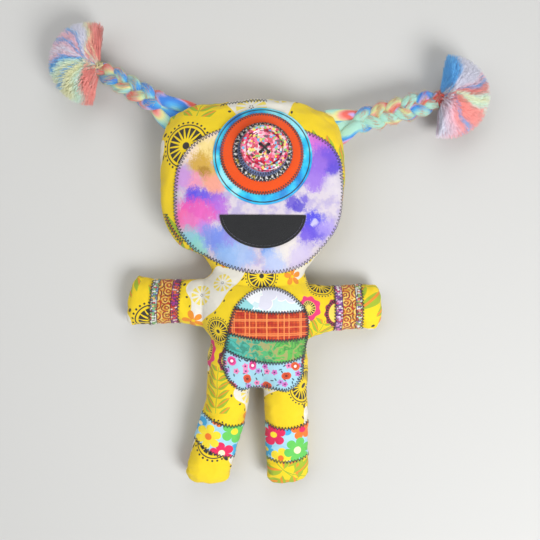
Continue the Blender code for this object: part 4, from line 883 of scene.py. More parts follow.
HEAD_RAY_ABOVE, TORSO_RAY_ABOVE, RAY_BEYOND = 0.012, 0.1, 0.02


def shares_of(name, plan):
    """Shares across and along at places of the plan: the nearest of a coarse grid, then Newton steps."""
    length = lengths[name]
    coarse = np.linspace(0.0, 1.0, COARSE_LINES)
    a, b = (m.ravel() for m in np.meshgrid(coarse, coarse))
    known = length.plan(a, b)[0]
    near = np.concatenate([((some[:, None] - known[None]) ** 2).sum(axis=2).argmin(axis=1)
                           for some in np.array_split(plan, max(1, len(plan) // BATCH))])
    a, b = a[near], b[near]
    for _ in range(NEWTON_STEPS):
        right = (length.plan(a + NUDGE, b)[0] - length.plan(a - NUDGE, b)[0]) / (2 * NUDGE)
        ahead = (length.plan(a, b + NUDGE)[0] - length.plan(a, b - NUDGE)[0]) / (2 * NUDGE)
        miss = plan - length.plan(a, b)[0]
        area = flat_cross(right, ahead)
        area = np.where(np.abs(area) < LEAST_AREA, LEAST_AREA, area)
        a = np.clip(a + np.clip(flat_cross(miss, ahead) / area, -MOST_STEP, MOST_STEP), 0.0, 1.0)
        b = np.clip(b + np.clip(flat_cross(right, miss) / area, -MOST_STEP, MOST_STEP), 0.0, 1.0)
    return a, b


def on_skin(name, plan, rise):
    """Points above the stuffed skin over places of the plan, and the ways that they rise.

    On the head and limbs the way is square to the formula's surface, and the skin's own place is
    where a ray down that way meets it. On the torso the ray falls straight down, and the way is
    square to the skin. Where a ray passes the skin by, its nearest place is taken.
    """
    plan = np.asarray(plan, float)
    if name == "torso":
        spot, far = np.column_stack([plan, np.zeros(len(plan))]), TORSO_RAY_ABOVE
        way = np.tile((0.0, 0.0, 1.0), (len(plan), 1))
        inside = spot + (0.0, 0.0, TORSO_SEAM_HEIGHT)
    else:
        length = lengths[name]
        a, b = shares_of(name, plan)
        s, t = (np.clip(share, 2 * SHARE_STEP, 1 - 2 * SHARE_STEP) for share in (a, b))
        right = length.face(s + SHARE_STEP, t, True) - length.face(s - SHARE_STEP, t, True)
        ahead = length.face(s, t + SHARE_STEP, True) - length.face(s, t - SHARE_STEP, True)
        way = np.cross(right, ahead)
        way /= np.linalg.norm(way, axis=1, keepdims=True)
        spot, far = length.face(a, b, True), HEAD_RAY_ABOVE
        inside = spot
    starts, downs = (spot + far * way).tolist(), (-way).tolist()
    hits = [skin_tree.ray_cast(p, w, far + RAY_BEYOND) for p, w in zip(starts, downs)]
    hits = [skin_tree.find_nearest(p) if hit[0] is None else hit
            for p, hit in zip(inside.tolist(), hits)]
    spot = np.array([tuple(hit[0]) for hit in hits])
    if name == "torso":
        way = np.array([tuple(hit[1]) for hit in hits])
    return spot + np.broadcast_to(np.asarray(rise, float), len(plan))[:, None] * way, way


def closed_curve(points, count):
    """Closed Catmull-Rom curve through the points, evenly numbered."""
    points = np.asarray(points, float)
    place = np.arange(count) * len(points) / count
    cell = place.astype(int)
    t = (place - cell)[:, None]
    before, first, last, after = (points[(cell + k) % len(points)] for k in (-1, 0, 1, 2))
    bend = 2 * before - 5 * first + 4 * last - after + t * (3 * (first - last) + after - before)
    return first + 0.5 * t * (last - before + t * bend)


def evened(path, step):
    """The same closed path with points at an even distance, about one step apart."""
    loop = np.concatenate([path, path[:1]])
    gone = path_gone(loop)
    count = max(8, round(gone[-1] / step))
    return places_along(loop, gone, np.arange(count) * gone[-1] / count)


def give_flat(item, per_point):
    """Writes a flat place for every point into the piece's cloth map."""
    mesh = item.data
    corner = numbers_of(mesh.loops, "vertex_index", np.int32, 1)
    layer = mesh.uv_layers.new(name="flat")
    layer.data.foreach_set("uv", np.asarray(per_point, float)[corner].astype(np.float32).ravel())


def cut_piece(name, body, border, low, high, material, rings, puff=0.0):
    """A sheet cut to a border and laid on the skin: closed, with a rounded edge.

    Its points are rings about the border's middle, by a share from 0 to 1, first over the top
    at the high rise, then back underneath at the low rise.
    """
    middle = (border.min(axis=0) + border.max(axis=0)) / 2
    inner = np.sin(np.linspace(0.0, math.pi / 2, rings + 1)[1:-1]) * CUT_INNER
    shares = np.concatenate([inner, CUT_EDGE])
    thick = high - low
    rises = np.concatenate([np.full(len(inner), high), [high - 0.12 * thick, high - 0.4 * thick,
                                                        low + 0.35 * thick, low, low]])
    lift = np.exp(-((shares - PUFF_AT) / PUFF_WIDTH) ** 2) * puff * (rises >= high - SAME_RISE)
    plan = middle + shares[:, None, None] * (border - middle)[None]
    count = len(border)
    rise = np.repeat(rises + lift, count)
    flat = np.concatenate([[middle], plan.reshape(-1, 2), [middle]])
    points, _ = on_skin(body, flat, np.concatenate([[high], rise, [low]]))
    ring = np.arange(count)
    after = (ring + 1) % count
    faces = [(0, 1 + i, 1 + j) for i, j in zip(ring.tolist(), after.tolist())]
    for k in range(len(shares) - 1):
        here, there = 1 + k * count, 1 + (k + 1) * count
        faces += np.stack([here + ring, there + ring, there + after, here + after], axis=-1).tolist()
    final = len(flat) - 1
    last = 1 + (len(shares) - 1) * count
    faces += [(last + i, final, last + j) for i, j in zip(ring.tolist(), after.tolist())]
    item = mesh_object(name, points, faces, material)
    give_flat(item, flat)
    return item


def triangles_and_squares(name, points, triangles, squares, material):
    """A new piece of both kinds of face, written as whole arrays."""
    mesh = bpy.data.meshes.new(name)
    triangles, squares = np.asarray(triangles, np.int32), np.asarray(squares, np.int32)
    mesh.vertices.add(len(points))
    mesh.vertices.foreach_set("co", np.asarray(points, np.float32).ravel())
    mesh.loops.add(triangles.size + squares.size)
    mesh.loops.foreach_set("vertex_index", np.concatenate([squares.ravel(), triangles.ravel()]))
    mesh.polygons.add(len(triangles) + len(squares))
    starts = np.concatenate([np.arange(len(squares)) * 4, squares.size + np.arange(len(triangles)) * 3])
    mesh.polygons.foreach_set("loop_start", starts.astype(np.int32))
    mesh.update(calc_edges=True)
    mesh.validate()
    mesh.shade_smooth()
    return object_of(name, mesh, material)


def strands(name, paths, radii, sides, material, ways=None, flat=1.0):
    """Many closed tubes at once: paths is tubes by points by 3, radii one number or tubes by points.

    Flat is the tube's depth as a share of its width, one number or tubes by points. Each ring lies
    square to its path, from a side that is the path's way crossed with a direction given for it, or
    with one beside the tube's chord. The cloth map runs round and along each tube, in metres.
    """
    paths = np.asarray(paths, float)
    tubes, count = paths.shape[:2]
    tangent = np.gradient(paths, axis=1)
    tangent /= np.linalg.norm(tangent, axis=2, keepdims=True)
    if ways is None:
        chord = paths[:, -1] - paths[:, 0]
        up = 0.3 * np.linalg.norm(chord, axis=1)
        ways = np.stack([chord[:, 1], -chord[:, 0], up], axis=-1)[:, None]
    side = np.cross(tangent, np.broadcast_to(ways, paths.shape))
    side /= np.linalg.norm(side, axis=2, keepdims=True)
    other = np.cross(side, tangent)
    radii = np.broadcast_to(np.asarray(radii, float), (tubes, count))
    flat = np.broadcast_to(np.asarray(flat, float), (tubes, count))
    turn = np.arange(sides) * 2 * math.pi / sides
    rings = (paths[:, :, None] + radii[:, :, None, None]
             * (np.cos(turn)[:, None] * side[:, :, None]
                + flat[:, :, None, None] * np.sin(turn)[:, None] * other[:, :, None]))
    tube = np.arange(tubes)[:, None] * count * sides
    start = tube[:, :, None] + np.arange(count - 1)[None, :, None] * sides
    a, b = np.arange(sides), (np.arange(sides) + 1) % sides
    walls = np.broadcast_arrays(start + a, start + b, start + sides + b, start + sides + a)
    walls = np.stack(walls, axis=-1).reshape(-1, 4)
    caps = (tube + a[::-1]).tolist() + (tube + (count - 1) * sides + a).tolist()
    if sides == 3:
        item = triangles_and_squares(name, rings.reshape(-1, 3), caps, walls, material)
    else:
        item = mesh_object(name, rings.reshape(-1, 3), walls.tolist() + caps, material)
    steps = np.linalg.norm(np.diff(paths, axis=1), axis=2)
    gone = np.concatenate([np.zeros((tubes, 1)), np.cumsum(steps, axis=1)], axis=1)
    around_it = np.broadcast_to(turn * np.mean(radii), (tubes, count, sides))
    along_it = np.broadcast_to(gone[:, :, None], around_it.shape)
    give_flat(item, np.stack([around_it, along_it], axis=-1).reshape(-1, 2))
    return item


def inset(path, distance):
    """A closed path moved to its left by a distance, square to its own way."""
    way = np.roll(path, -1, axis=0) - np.roll(path, 1, axis=0)
    way /= np.linalg.norm(way, axis=1, keepdims=True)
    return path + distance * np.stack([-way[:, 1], way[:, 0]], axis=-1)


def zigzag(name, body, outer, inner, outer_rise, inner_rise, material):
    """Zigzag of single stitches between two rows of places; each dips into the cloth at both ends.

    A stitch goes from an outer place to an inner one, and the next comes back to the next outer one.
    """
    count = min(len(outer), len(inner))
    following = outer[1:count + 1] if len(outer) > count else np.roll(outer, -1, axis=0)
    starts = np.concatenate([outer[:count], inner[:count]])
    ends = np.concatenate([inner[:count], following])
    plan = starts[:, None] + (ends - starts)[:, None] * STITCH_SHARES[None, :, None]
    going_in = np.arange(2 * count)[:, None] < count
    along = np.where(going_in, STITCH_SHARES, 1.0 - STITCH_SHARES)
    rise = outer_rise + (inner_rise - outer_rise) * ease(along / STEP_SHARE)
    points, ways = on_skin(body, plan.reshape(-1, 2), (rise + STITCH_ARCH * STITCH_RADIUS).ravel())
    shape = plan.shape[:2] + (3,)
    return strands(name, points.reshape(shape), STITCH_RADIUS, STITCH_SIDES, material,
                   ways.reshape(shape))


def round_zigzag(name, body, border, low_rise, high_rise, material, step=ZIGZAG_STEP, reach=ZIGZAG_IN,
                 out=ZIGZAG_OUT):
    """Zigzag all round a closed border that runs against the clock: inner places half a step on."""
    path = evened(border, step)
    half = (path + np.roll(path, -1, axis=0)) / 2
    return zigzag(name, body, inset(path, -out), inset(half, reach), low_rise, high_rise, material)


thread = Finish("dark_sewing_thread", 0.55, 0.3)
_, thread_u, thread_v = thread.flat()
spun = (thread_v * 5200.0 + thread_u * 9000.0).to("SINE")
thread.colour(thread.bands(thread.noise(thread.inside(), 0.020, 1.0),
                           [(0.35, dye(24, 26, 34)), (0.55, dye(44, 46, 62)), (0.72, dye(70, 66, 96))]))
thread.relief((spun, 0.00005))

face_place = ((FACE_X, FACE_Y), (FACE_WIDTH, 0.0), (0.0, FACE_LENGTH))
face_border = closed_curve(outline(FACE_OUTLINE, *face_place), FACE_POINTS)
tie_dye = Finish("tie_dyed_cotton", 0.80, 0.12)
dye_place, dye_u, dye_v = tie_dye.flat()
run_place = tie_dye.moved(tie_dye.moved(dye_place, 0.012, 0.0050), 0.0035, 0.0018)
run_u, run_v, _ = tie_dye.parts(run_place)
grains = tie_dye.noise(dye_place, 0.0010, 2.0, 0.8)
crystals = tie_dye.noise(tie_dye.stretched(dye_place, (1.0, 0.5, 1.0)), 0.0022, 4.0, 0.7)
patches = tie_dye.noise(dye_place, 0.010, 3.0, 0.6)
dyed = tie_dye.mix(patches.over(0.52, 0.12), dye(218, 208, 220), dye(192, 180, 218))
DYE_BLOTS = (
    (-0.044, 0.150, 0.021, (254, 230, 212), 1.0), (-0.037, 0.146, 0.012, (252, 226, 140), 0.9),
    (-0.042, 0.134, 0.013, (218, 172, 58), 0.95), (-0.034, 0.125, 0.011, (224, 182, 76), 0.9),
    (-0.040, 0.129, 0.006, (176, 130, 38), 0.8), (-0.0325, 0.1196, 0.011, (250, 166, 150), 0.9),
    (-0.049, 0.121, 0.010, (250, 156, 190), 0.9), (-0.059, 0.126, 0.011, (212, 156, 228), 0.9),
    (-0.049, 0.111, 0.008, (96, 84, 234), 1.0), (-0.040, 0.110, 0.0085, (108, 88, 232), 0.95),
    (-0.0325, 0.107, 0.009, (146, 96, 226), 0.9), (-0.029, 0.102, 0.010, (188, 106, 220), 0.85),
    (-0.052, 0.100, 0.013, (242, 92, 188), 1.0), (-0.042, 0.099, 0.012, (236, 98, 192), 0.95),
    (-0.056, 0.094, 0.010, (248, 112, 176), 0.9), (-0.049, 0.091, 0.010, (240, 126, 198), 0.9),
    (-0.040, 0.087, 0.010, (196, 132, 226), 0.85), (-0.052, 0.080, 0.011, (132, 204, 216), 0.9),
    (-0.044, 0.075, 0.009, (136, 212, 200), 0.85), (-0.034, 0.081, 0.011, (130, 152, 234), 0.9),
    (-0.027, 0.077, 0.012, (118, 142, 232), 0.9), (-0.018, 0.080, 0.009, (146, 140, 228), 0.8),
    (-0.023, 0.067, 0.011, (138, 182, 238), 0.85), (-0.013, 0.069, 0.013, (156, 190, 242), 0.8),
    (0.008, 0.0704, 0.006, (76, 140, 228), 0.9), (0.013, 0.065, 0.011, (176, 196, 238), 0.8),
    (0.024, 0.073, 0.012, (232, 226, 220), 0.9), (0.0325, 0.0685, 0.010, (206, 194, 232), 0.8),
    (0.043, 0.092, 0.0115, (84, 78, 226), 1.0), (0.039, 0.084, 0.009, (112, 84, 222), 0.9),
    (0.047, 0.085, 0.009, (104, 84, 220), 0.9), (0.0445, 0.093, 0.0035, (232, 228, 240), 0.7),
    (0.0535, 0.0876, 0.009, (172, 154, 234), 0.8), (0.026, 0.107, 0.0055, (94, 74, 204), 0.9),
    (0.0315, 0.104, 0.005, (86, 70, 204), 0.9), (0.036, 0.110, 0.004, (104, 84, 214), 0.8),
    (0.047, 0.1535, 0.012, (224, 112, 214), 0.95), (0.0516, 0.1496, 0.010, (204, 112, 222), 0.9),
    (0.050, 0.138, 0.016, (146, 98, 222), 0.95), (0.0563, 0.143, 0.009, (118, 84, 220), 0.9),
    (0.046, 0.1286, 0.013, (152, 110, 226), 0.9), (0.042, 0.122, 0.009, (164, 124, 228), 0.85),
    (0.0573, 0.1344, 0.007, (96, 76, 214), 0.9), (0.060, 0.121, 0.011, (224, 216, 226), 0.8),
)
for x, y, reach, shade, strength in DYE_BLOTS:
    apart = polar(run_u - x, run_v - y)[0] * (1.0 / reach)
    soak = (apart + (crystals - 0.5) * 1.2 + (grains - 0.5) * 0.9).under(0.80, 0.50)
    dyed = tie_dye.mix(soak * strength, dyed, dye(*shade))
tie_dye.colour(tie_dye.shaded(dyed, (crystals * 1.2).to("ADD", 0.1, clamp=True), 0.90))
cotton_relief(tie_dye, dye_place, dye_u, dye_v)
face_panel = cut_piece("face_panel_cloth", "head", face_border, CLOTH_LOW, CLOTH_HIGH,
                       tie_dye.material, FACE_RINGS, FACE_PUFF)
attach(face_panel, "head")
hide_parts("face_panel")
face_stitches = round_zigzag("face_panel_zigzag", "head", face_border, 0.0, CLOTH_HIGH, thread.material)
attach(face_stitches, "head")


# Eye: a satin disc, an orange felt one, a printed one and a grey felt one, each stitched onto what
# lies under it, and a big resin coat button with glitter flakes, sewn on with a black cross.
EYE_X, EYE_Y = FACE_X + 0.0035, FACE_Y + 0.0270
RING_RADIUS, IRIS_RADIUS, PRINT_RADIUS, PUPIL_RADIUS = 0.0371, 0.0307, 0.0218, 0.0185
IRIS_X, IRIS_Y, PRINT_Y = EYE_X - 0.0006, EYE_Y + 0.0012, EYE_Y + 0.0019
BUTTON_X, BUTTON_Y = EYE_X + 0.0013, EYE_Y + 0.0031
EYE_RISES = {"ring": (0.0010, 0.0016), "iris": (0.0017, 0.0029), "print": (0.0030, 0.0037),
             "pupil": (0.0038, 0.0050)}
EYE_CUT_RINGS, RING_STITCH_INSET, DASHES_FROM = 12, 0.0019, 0.0205
BUTTON_RISE, BUTTON_SIDES, BUTTON_SHARP = 0.0053, 96, math.radians(38.0)
BUTTON_PROFILE = ((0.0, 0.0), (0.0156, 0.0), (0.0171, 0.0003), (0.0178, 0.0010), (0.0181, 0.0020),
                  (0.0180, 0.0031), (0.0174, 0.0038), (0.0166, 0.0041), (0.0156, 0.0042),
                  (0.0147, 0.0041), (0.0139, 0.0037), (0.0133, 0.0030), (0.0127, 0.0026),
                  (0.0118, 0.0028), (0.0100, 0.0029), (0.0070, 0.0030), (0.0035, 0.0030), (0.0, 0.0030))
# Half widths of the painted shade lines in the button's groove and at its rim.
GROOVE_RADIUS, RIM_RADIUS, SHADE_LINE_HALF = 0.0137, 0.0179, (0.0003, 0.0002)
HOLE_OUT, HOLE_RADIUS, HOLE_SIDES, DRILL_ENDS = 0.0029, 0.0014, 20, (-0.002, 0.006)
CROSS_RADIUS, CROSS_BESIDE, CROSS_SIDES, CROSS_POINTS = 0.00034, 0.0004, 8, 9
CROSS_SUNK, CROSS_LOW, CROSS_BOWS = 0.0006, 0.0038, {1: 0.0007, -1: 0.0013}


def circle(x, y, radius, count):
    """Evenly spaced places of the plan round a middle, against the clock."""
    turn = np.arange(count) * 2 * math.pi / count
    return np.stack([x + radius * np.cos(turn), y + radius * np.sin(turn)], axis=-1)


def felt(name, first, second):
    """Pressed wool: two close shades in fine tangled fibres, matt and softly pitted, with painted shade in
    the pits.
    """
    finish = Finish(name, 0.95, 0.45)
    place = finish.flat()[0]
    tangle = finish.noise(finish.moved(place, 0.0006, 0.0005), 0.0007, 4.0, 0.75)
    shades = finish.mix(finish.noise(place, 0.009, 3.0), first, second)
    # Painted shade: the fibres are darker where the tangle bump is low, in the pits.
    finish.colour(finish.shaded(shades, tangle, 0.70))
    finish.relief((tangle, 0.00035), (finish.noise(place, 0.004, 2.0), 0.0003))
    return finish.material


satin = Finish("turquoise_satin", 0.34, 0.2)
satin_place, satin_u, satin_v = satin.flat()
_, eye_turn = polar(satin_u - EYE_X, satin_v - EYE_Y)
sheen = (eye_turn * 2.0 + (satin.noise(satin_place, 0.016, 2.0) - 0.5) * 7.0).to("SINE")
satin.colour(satin.bands(sheen.to("MULTIPLY_ADD", 0.5, 0.5),
                         [(0.0, dye(8, 128, 206)), (0.35, dye(16, 176, 232)), (0.70, dye(50, 206, 236)),
                          (1.0, dye(150, 232, 244))]))
satin.relief((satin.noise(satin_place, 0.006, 2.0), 0.0004),
             (weave(satin_u, satin_v, 0.0004), 0.00002))

printed = Finish("black_and_white_cotton", 0.8, 0.1)
print_place, print_u, print_v = printed.flat()
out, turned_by = polar(print_u - EYE_X, print_v - PRINT_Y)
rays, dashes = (turned_by * 31.0).to("COSINE").over(0.1, 0.3), (turned_by * 47.0).to("SINE").over(0.0, 0.3)
at_edge = out.over(DASHES_FROM, INK_EDGE)
chequer = printed.mix(rays * at_edge.less(1.0) + dashes * at_edge, dye(34, 32, 38), dye(238, 234, 230))
printed.colour(printed.mix(printed.noise(print_place, 0.004, 1.0).over(0.62, 0.05), chequer,
                           dye(196, 176, 70)))
cotton_relief(printed, print_place, print_u, print_v)

eye_discs = {"ring": circle(EYE_X, EYE_Y, RING_RADIUS, 180),
             "iris": circle(IRIS_X, IRIS_Y, IRIS_RADIUS, 160),
             "print": circle(EYE_X, PRINT_Y, PRINT_RADIUS, 120),
             "pupil": circle(EYE_X, PRINT_Y, PUPIL_RADIUS, 110)}
orange_felt = felt("orange_felt", dye(255, 94, 2), dye(250, 76, 0))
grey_felt = felt("grey_felt", dye(150, 170, 220), dye(126, 144, 198))
for key, name, material, node, slot in (
        ("ring", "eye_satin_ring", satin.material, "eye_ring", "turquoise_satin"),
        ("iris", "eye_orange_disc", orange_felt, "eye_iris", "orange_felt"),
        ("print", "eye_printed_disc", printed.material, "eye_print_disc", "black_and_white_cotton"),
        ("pupil", "eye_grey_disc", grey_felt, "eye_pupil", "grey_felt")):
    low, high = EYE_RISES[key]
    piece = cut_piece(name, "head", eye_discs[key], low, high, material, EYE_CUT_RINGS)
    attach(piece, "head")
    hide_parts(node)
ring_stitch_line = circle(EYE_X, EYE_Y, RING_RADIUS - RING_STITCH_INSET, 180)
for name, border, under, key, step, reach, out in (
        ("eye_ring_stitches", ring_stitch_line, "ring", "ring", 0.0009, 0.0003, 0.0002),
        ("eye_iris_zigzag", eye_discs["iris"], "ring", "iris", 0.0021, 0.0022, 0.0006),
        ("eye_print_zigzag", eye_discs["print"], "iris", "print", 0.0020, 0.0014, 0.0006),
        ("eye_pupil_zigzag", eye_discs["pupil"], "print", "pupil", 0.0021, 0.0026, 0.0014)):
    piece = round_zigzag(name, "head", border, EYE_RISES[under][1], EYE_RISES[key][1], thread.material,
                         step, reach, out)
    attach(piece, "head")

spot, up = on_skin("head", [(BUTTON_X, BUTTON_Y)], BUTTON_RISE)
spot, up = spot[0], up[0]
level = np.cross((0.0, 1.0, 0.0), up)
level /= np.linalg.norm(level)
seat = np.stack([level, np.cross(up, level), up])


def seated(local):
    """Points given across, up the face and out of it, brought to the button's seat."""
    return spot + np.asarray(local, float) @ seat


def turned_shape(name, profile, count, material):
    """A round closed shape from radius and height pairs that start and end on its axis."""
    profile = np.asarray(profile, float)
    turn = np.arange(count) * 2 * math.pi / count
    ring = profile[1:-1]
    local = np.stack([ring[:, :1] * np.cos(turn), ring[:, :1] * np.sin(turn),
                      np.broadcast_to(ring[:, 1:], (len(ring), count))], axis=-1).reshape(-1, 3)
    local = np.concatenate([local, [(0.0, 0.0, profile[0, 1]), (0.0, 0.0, profile[-1, 1])]])
    a = np.arange(count)
    b = (a + 1) % count
    start = np.arange(len(ring) - 1)[:, None] * count
    walls = np.stack([start + a, start + b, start + count + b, start + count + a], axis=-1)
    low, high, last = len(local) - 2, len(local) - 1, (len(ring) - 1) * count
    faces = walls.reshape(-1, 4).tolist()
    faces += [(low, j, i) for i, j in zip(a.tolist(), b.tolist())]
    faces += [(high, last + i, last + j) for i, j in zip(a.tolist(), b.tolist())]
    return mesh_object(name, seated(local), faces, material)


resin = Finish("flecked_resin", 0.12)
resin.shader.inputs["Coat Weight"].default_value = 1.0
resin.shader.inputs["Coat Roughness"].default_value = 0.05
chips = resin.node("ShaderNodeTexVoronoi", {"Vector": resin.moved(resin.inside(), 0.002, 0.0003),
                                            "Scale": 610.0})
chip = resin.parts(chips.outputs["Color"])
CONFETTI = [(0.0, dye(216, 30, 74)), (0.17, dye(232, 88, 136)), (0.32, dye(222, 196, 200)),
            (0.42, dye(186, 20, 54)), (0.55, dye(240, 160, 184)), (0.64, dye(236, 206, 84)),
            (0.72, dye(84, 170, 216)), (0.78, dye(92, 24, 62)), (0.90, dye(236, 216, 220)),
            (0.95, dye(128, 186, 96))]
resin_colour = resin.bands(chip[0], CONFETTI, "CONSTANT")
# Painted shade: dark rings along the groove and round the rim's outer edge, where the button's face turns
# down.
offset = resin.node("ShaderNodeVectorMath", {0: resin.inside(), 1: tuple(spot)}, operation="SUBTRACT")
away = resin.node("ShaderNodeVectorMath", {0: offset.outputs[0]}, operation="LENGTH")
from_middle = Term(resin.tree, away.outputs["Value"])
groove_shade, rim = ((from_middle - radius).size().under(half, 0.0006) * 0.8
               for radius, half in zip((GROOVE_RADIUS, RIM_RADIUS), SHADE_LINE_HALF))
resin.colour(resin.mix(groove_shade + rim, resin_colour, dye(74, 22, 46)))
resin.relief((chip[1], 0.00006))
button = turned_shape("flecked_coat_button", BUTTON_PROFILE, BUTTON_SIDES, resin.material)
hole_round = circle(0.0, 0.0, HOLE_RADIUS, HOLE_SIDES)
hole_walls = [(i, (i + 1) % HOLE_SIDES, HOLE_SIDES + (i + 1) % HOLE_SIDES, HOLE_SIDES + i)
              for i in range(HOLE_SIDES)]
hole_ends = [tuple(range(HOLE_SIDES - 1, -1, -1)), tuple(range(HOLE_SIDES, 2 * HOLE_SIDES))]
for index, place in enumerate(((1, 1), (-1, 1), (-1, -1), (1, -1))):
    across = hole_round + HOLE_OUT * np.array(place)
    ends = [np.column_stack([across, np.full(HOLE_SIDES, height)]) for height in DRILL_ENDS]
    drill = mesh_object(f"button_hole_{index + 1}", seated(np.concatenate(ends)), hole_walls + hole_ends,
                        resin.material)
    hole = button.modifiers.new("hole", "BOOLEAN")
    hole.operation, hole.solver, hole.object = "DIFFERENCE", "EXACT", drill
    bpy.context.view_layer.objects.active = button
    bpy.ops.object.modifier_apply(modifier=hole.name)
    bpy.data.objects.remove(drill)
button.data.shade_smooth()
button.data.set_sharp_from_angle(angle=BUTTON_SHARP)
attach(button, "head")
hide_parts("eye_button")

# The black cross: three strands each way, down through opposite holes.
share = np.linspace(-1.0, 1.0, CROSS_POINTS)
cross = []
for sign, height in CROSS_BOWS.items():
    for beside in (-CROSS_BESIDE, 0.0, CROSS_BESIDE):
        bow = CROSS_LOW + height * (1.0 - share**4)
        bow[0] = bow[-1] = CROSS_SUNK
        edge = np.where(np.abs(share) > 0.99, 1.0, np.abs(share) * 1.08)
        reach = HOLE_OUT * np.sign(share) * np.minimum(edge, 1.06)
        aside = beside * 0.7
        cross.append(seated(np.stack([reach - aside, sign * (reach + aside), bow], axis=-1)))
cross_threads = strands("button_cross_threads", np.array(cross), CROSS_RADIUS, CROSS_SIDES,
                        thread.material, up)
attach(cross_threads, "head")
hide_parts("button_thread")


# Mouth: a half moon of black felt on the face panel, held by running stitches close to its curved
# edge.
MOUTH_WIDTH, MOUTH_DEPTH, MOUTH_X, MOUTH_TOP = 0.0647, 0.0238, FACE_X + 0.0037, FACE_Y - 0.0172
MOUTH_LOW, MOUTH_HIGH, MOUTH_STEP, MOUTH_CUT_RINGS = 0.0009, 0.0021, 0.0012, 16
MOUTH_STITCH, MOUTH_GAP, MOUTH_THREAD, MOUTH_INSET = 0.0022, 0.0008, 0.00028, (0.930, 0.915)
LIP_POINTS, TOP_POINTS = 61, 31
RUN_SHARES, RUN_ARCH = np.array([0.0, 0.12, 0.5, 0.88, 1.0]), np.array([-0.6, 0.5, 0.9, 0.5, -0.6])
turn = np.linspace(0.0, math.pi, LIP_POINTS)
lip = np.stack([MOUTH_X - MOUTH_WIDTH / 2 * np.cos(turn), MOUTH_TOP - MOUTH_DEPTH * np.sin(turn)], axis=-1)
back = np.linspace(1.0, 0.0, TOP_POINTS)[1:-1]
top_line = np.stack([MOUTH_X + MOUTH_WIDTH * (back - 0.5), np.full(len(back), MOUTH_TOP)], axis=-1)
mouth_border = evened(np.concatenate([lip, top_line]), MOUTH_STEP)
mouth = cut_piece("mouth_felt", "head", mouth_border, MOUTH_LOW, MOUTH_HIGH,
                  felt("black_felt", dye(32, 33, 36), dye(20, 21, 24)), MOUTH_CUT_RINGS)
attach(mouth, "head")
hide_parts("mouth")


def running(name, body, path, length, gap, rise, radius, material):
    """Running stitches along an open path: short strands with a gap between, dipping at both ends."""
    gone = path_gone(path)
    starts = np.arange(0.0, gone[-1] - length, length + gap)
    plan = places_along(path, gone, starts[:, None] + length * RUN_SHARES)
    rises = np.tile(rise + radius * RUN_ARCH, len(starts))
    points, ways = on_skin(body, plan.reshape(-1, 2), rises)
    shape = plan.shape[:2] + (3,)
    return strands(name, points.reshape(shape), radius, STITCH_SIDES, material, ways.reshape(shape))


inner_lip = (lip - (MOUTH_X, MOUTH_TOP)) * MOUTH_INSET + (MOUTH_X, MOUTH_TOP)
mouth_stitches = running("mouth_stitches", "head", inner_lip[2:-2], MOUTH_STITCH, MOUTH_GAP, MOUTH_HIGH,
                         MOUTH_THREAD, thread.material)
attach(mouth_stitches, "head")


# Belly: four strips of other cottons laid edge to edge on the torso, held by black zigzag over every
# join and all round.
BELLY_WIDTH, BELLY_LENGTH, BELLY_X, BELLY_LOW = 0.0640, 0.0790, 0.0064, -0.0385
BELLY_LEFT = ((-0.300, 0.000), (-0.420, 0.075), (-0.490, 0.180), (-0.515, 0.340), (-0.470, 0.530),
              (-0.430, 0.690), (-0.365, 0.840), (-0.230, 0.955))
BELLY_RIGHT = ((0.240, -0.005), (0.375, 0.060), (0.440, 0.160), (0.458, 0.300), (0.497, 0.450),
               (0.518, 0.640), (0.475, 0.810), (0.330, 0.940))
LEFT_CUTS, RIGHT_CUTS = (0.0, 0.459, 0.609, 0.840, 1.0), (0.0, 0.398, 0.577, 0.824, 1.0)
BELLY_SAGS = (0.028, -0.092, -0.045, -0.032, 0.080)
BELLY_COLUMNS, BELLY_ROWS = 44, 18
BRIM_CELLS, BRIM_DROP = 0.5, 0.55
JOIN_STEP, JOIN_WIDTH, BORDER_REACH, CUT_POINTS = 0.0022, 0.0028, 0.0026, 60
FULL_SPIN = 6.3


def laid_strip(name, body, corners_of, columns, rows, low, high, material, in_shares=False):
    """A closed strip of cloth on the skin: corners_of gives its plan from two shares.

    The top is a grid at the high rise, drawn down at its edges, and the underside one at the low
    rise. Its cloth map is the plan in metres, or the two shares.
    """
    s, t = np.linspace(0.0, 1.0, columns + 1), np.linspace(0.0, 1.0, rows + 1)
    across, along = (m.ravel() for m in np.meshgrid(s, t))
    plan = corners_of(across, along)
    brim = np.minimum(np.minimum(across, 1 - across) * columns, np.minimum(along, 1 - along) * rows)
    drop = np.where(brim < BRIM_CELLS, BRIM_DROP, 0.0) * (high - low)
    upper, _ = on_skin(body, plan, high - drop)
    lower, _ = on_skin(body, plan, low)
    count = len(plan)
    top_faces = grid_quads(rows + 1, columns + 1)
    ring = np.concatenate([np.arange(columns), columns + np.arange(rows) * (columns + 1),
                           count - 1 - np.arange(columns), (rows - np.arange(rows)) * (columns + 1)])
    after = np.roll(ring, -1)
    rim = np.stack([after, ring, ring + count, after + count], axis=-1)
    faces = np.concatenate([top_faces, top_faces[:, ::-1] + count, rim])
    item = mesh_object(name, np.concatenate([upper, lower]), faces, material)
    flat = np.stack([across, along], axis=-1) if in_shares else plan
    give_flat(item, np.concatenate([flat, flat]))
    return item


belly_place = ((BELLY_X, BELLY_LOW), (BELLY_WIDTH, 0.0), (0.0, BELLY_LENGTH))
belly_left, belly_right = outline(BELLY_LEFT, *belly_place), outline(BELLY_RIGHT, *belly_place)


def belly_cut(index, share):
    """A cut across the belly: a straight line from side to side that sags by a parabola."""
    start = smooth_curve(belly_left, [LEFT_CUTS[index]])[0]
    end = smooth_curve(belly_right, [RIGHT_CUTS[index]])[0]
    line = start + (end - start) * share[:, None]
    line[:, 1] += BELLY_LENGTH * BELLY_SAGS[index] * 4.0 * share * (1.0 - share)
    return line


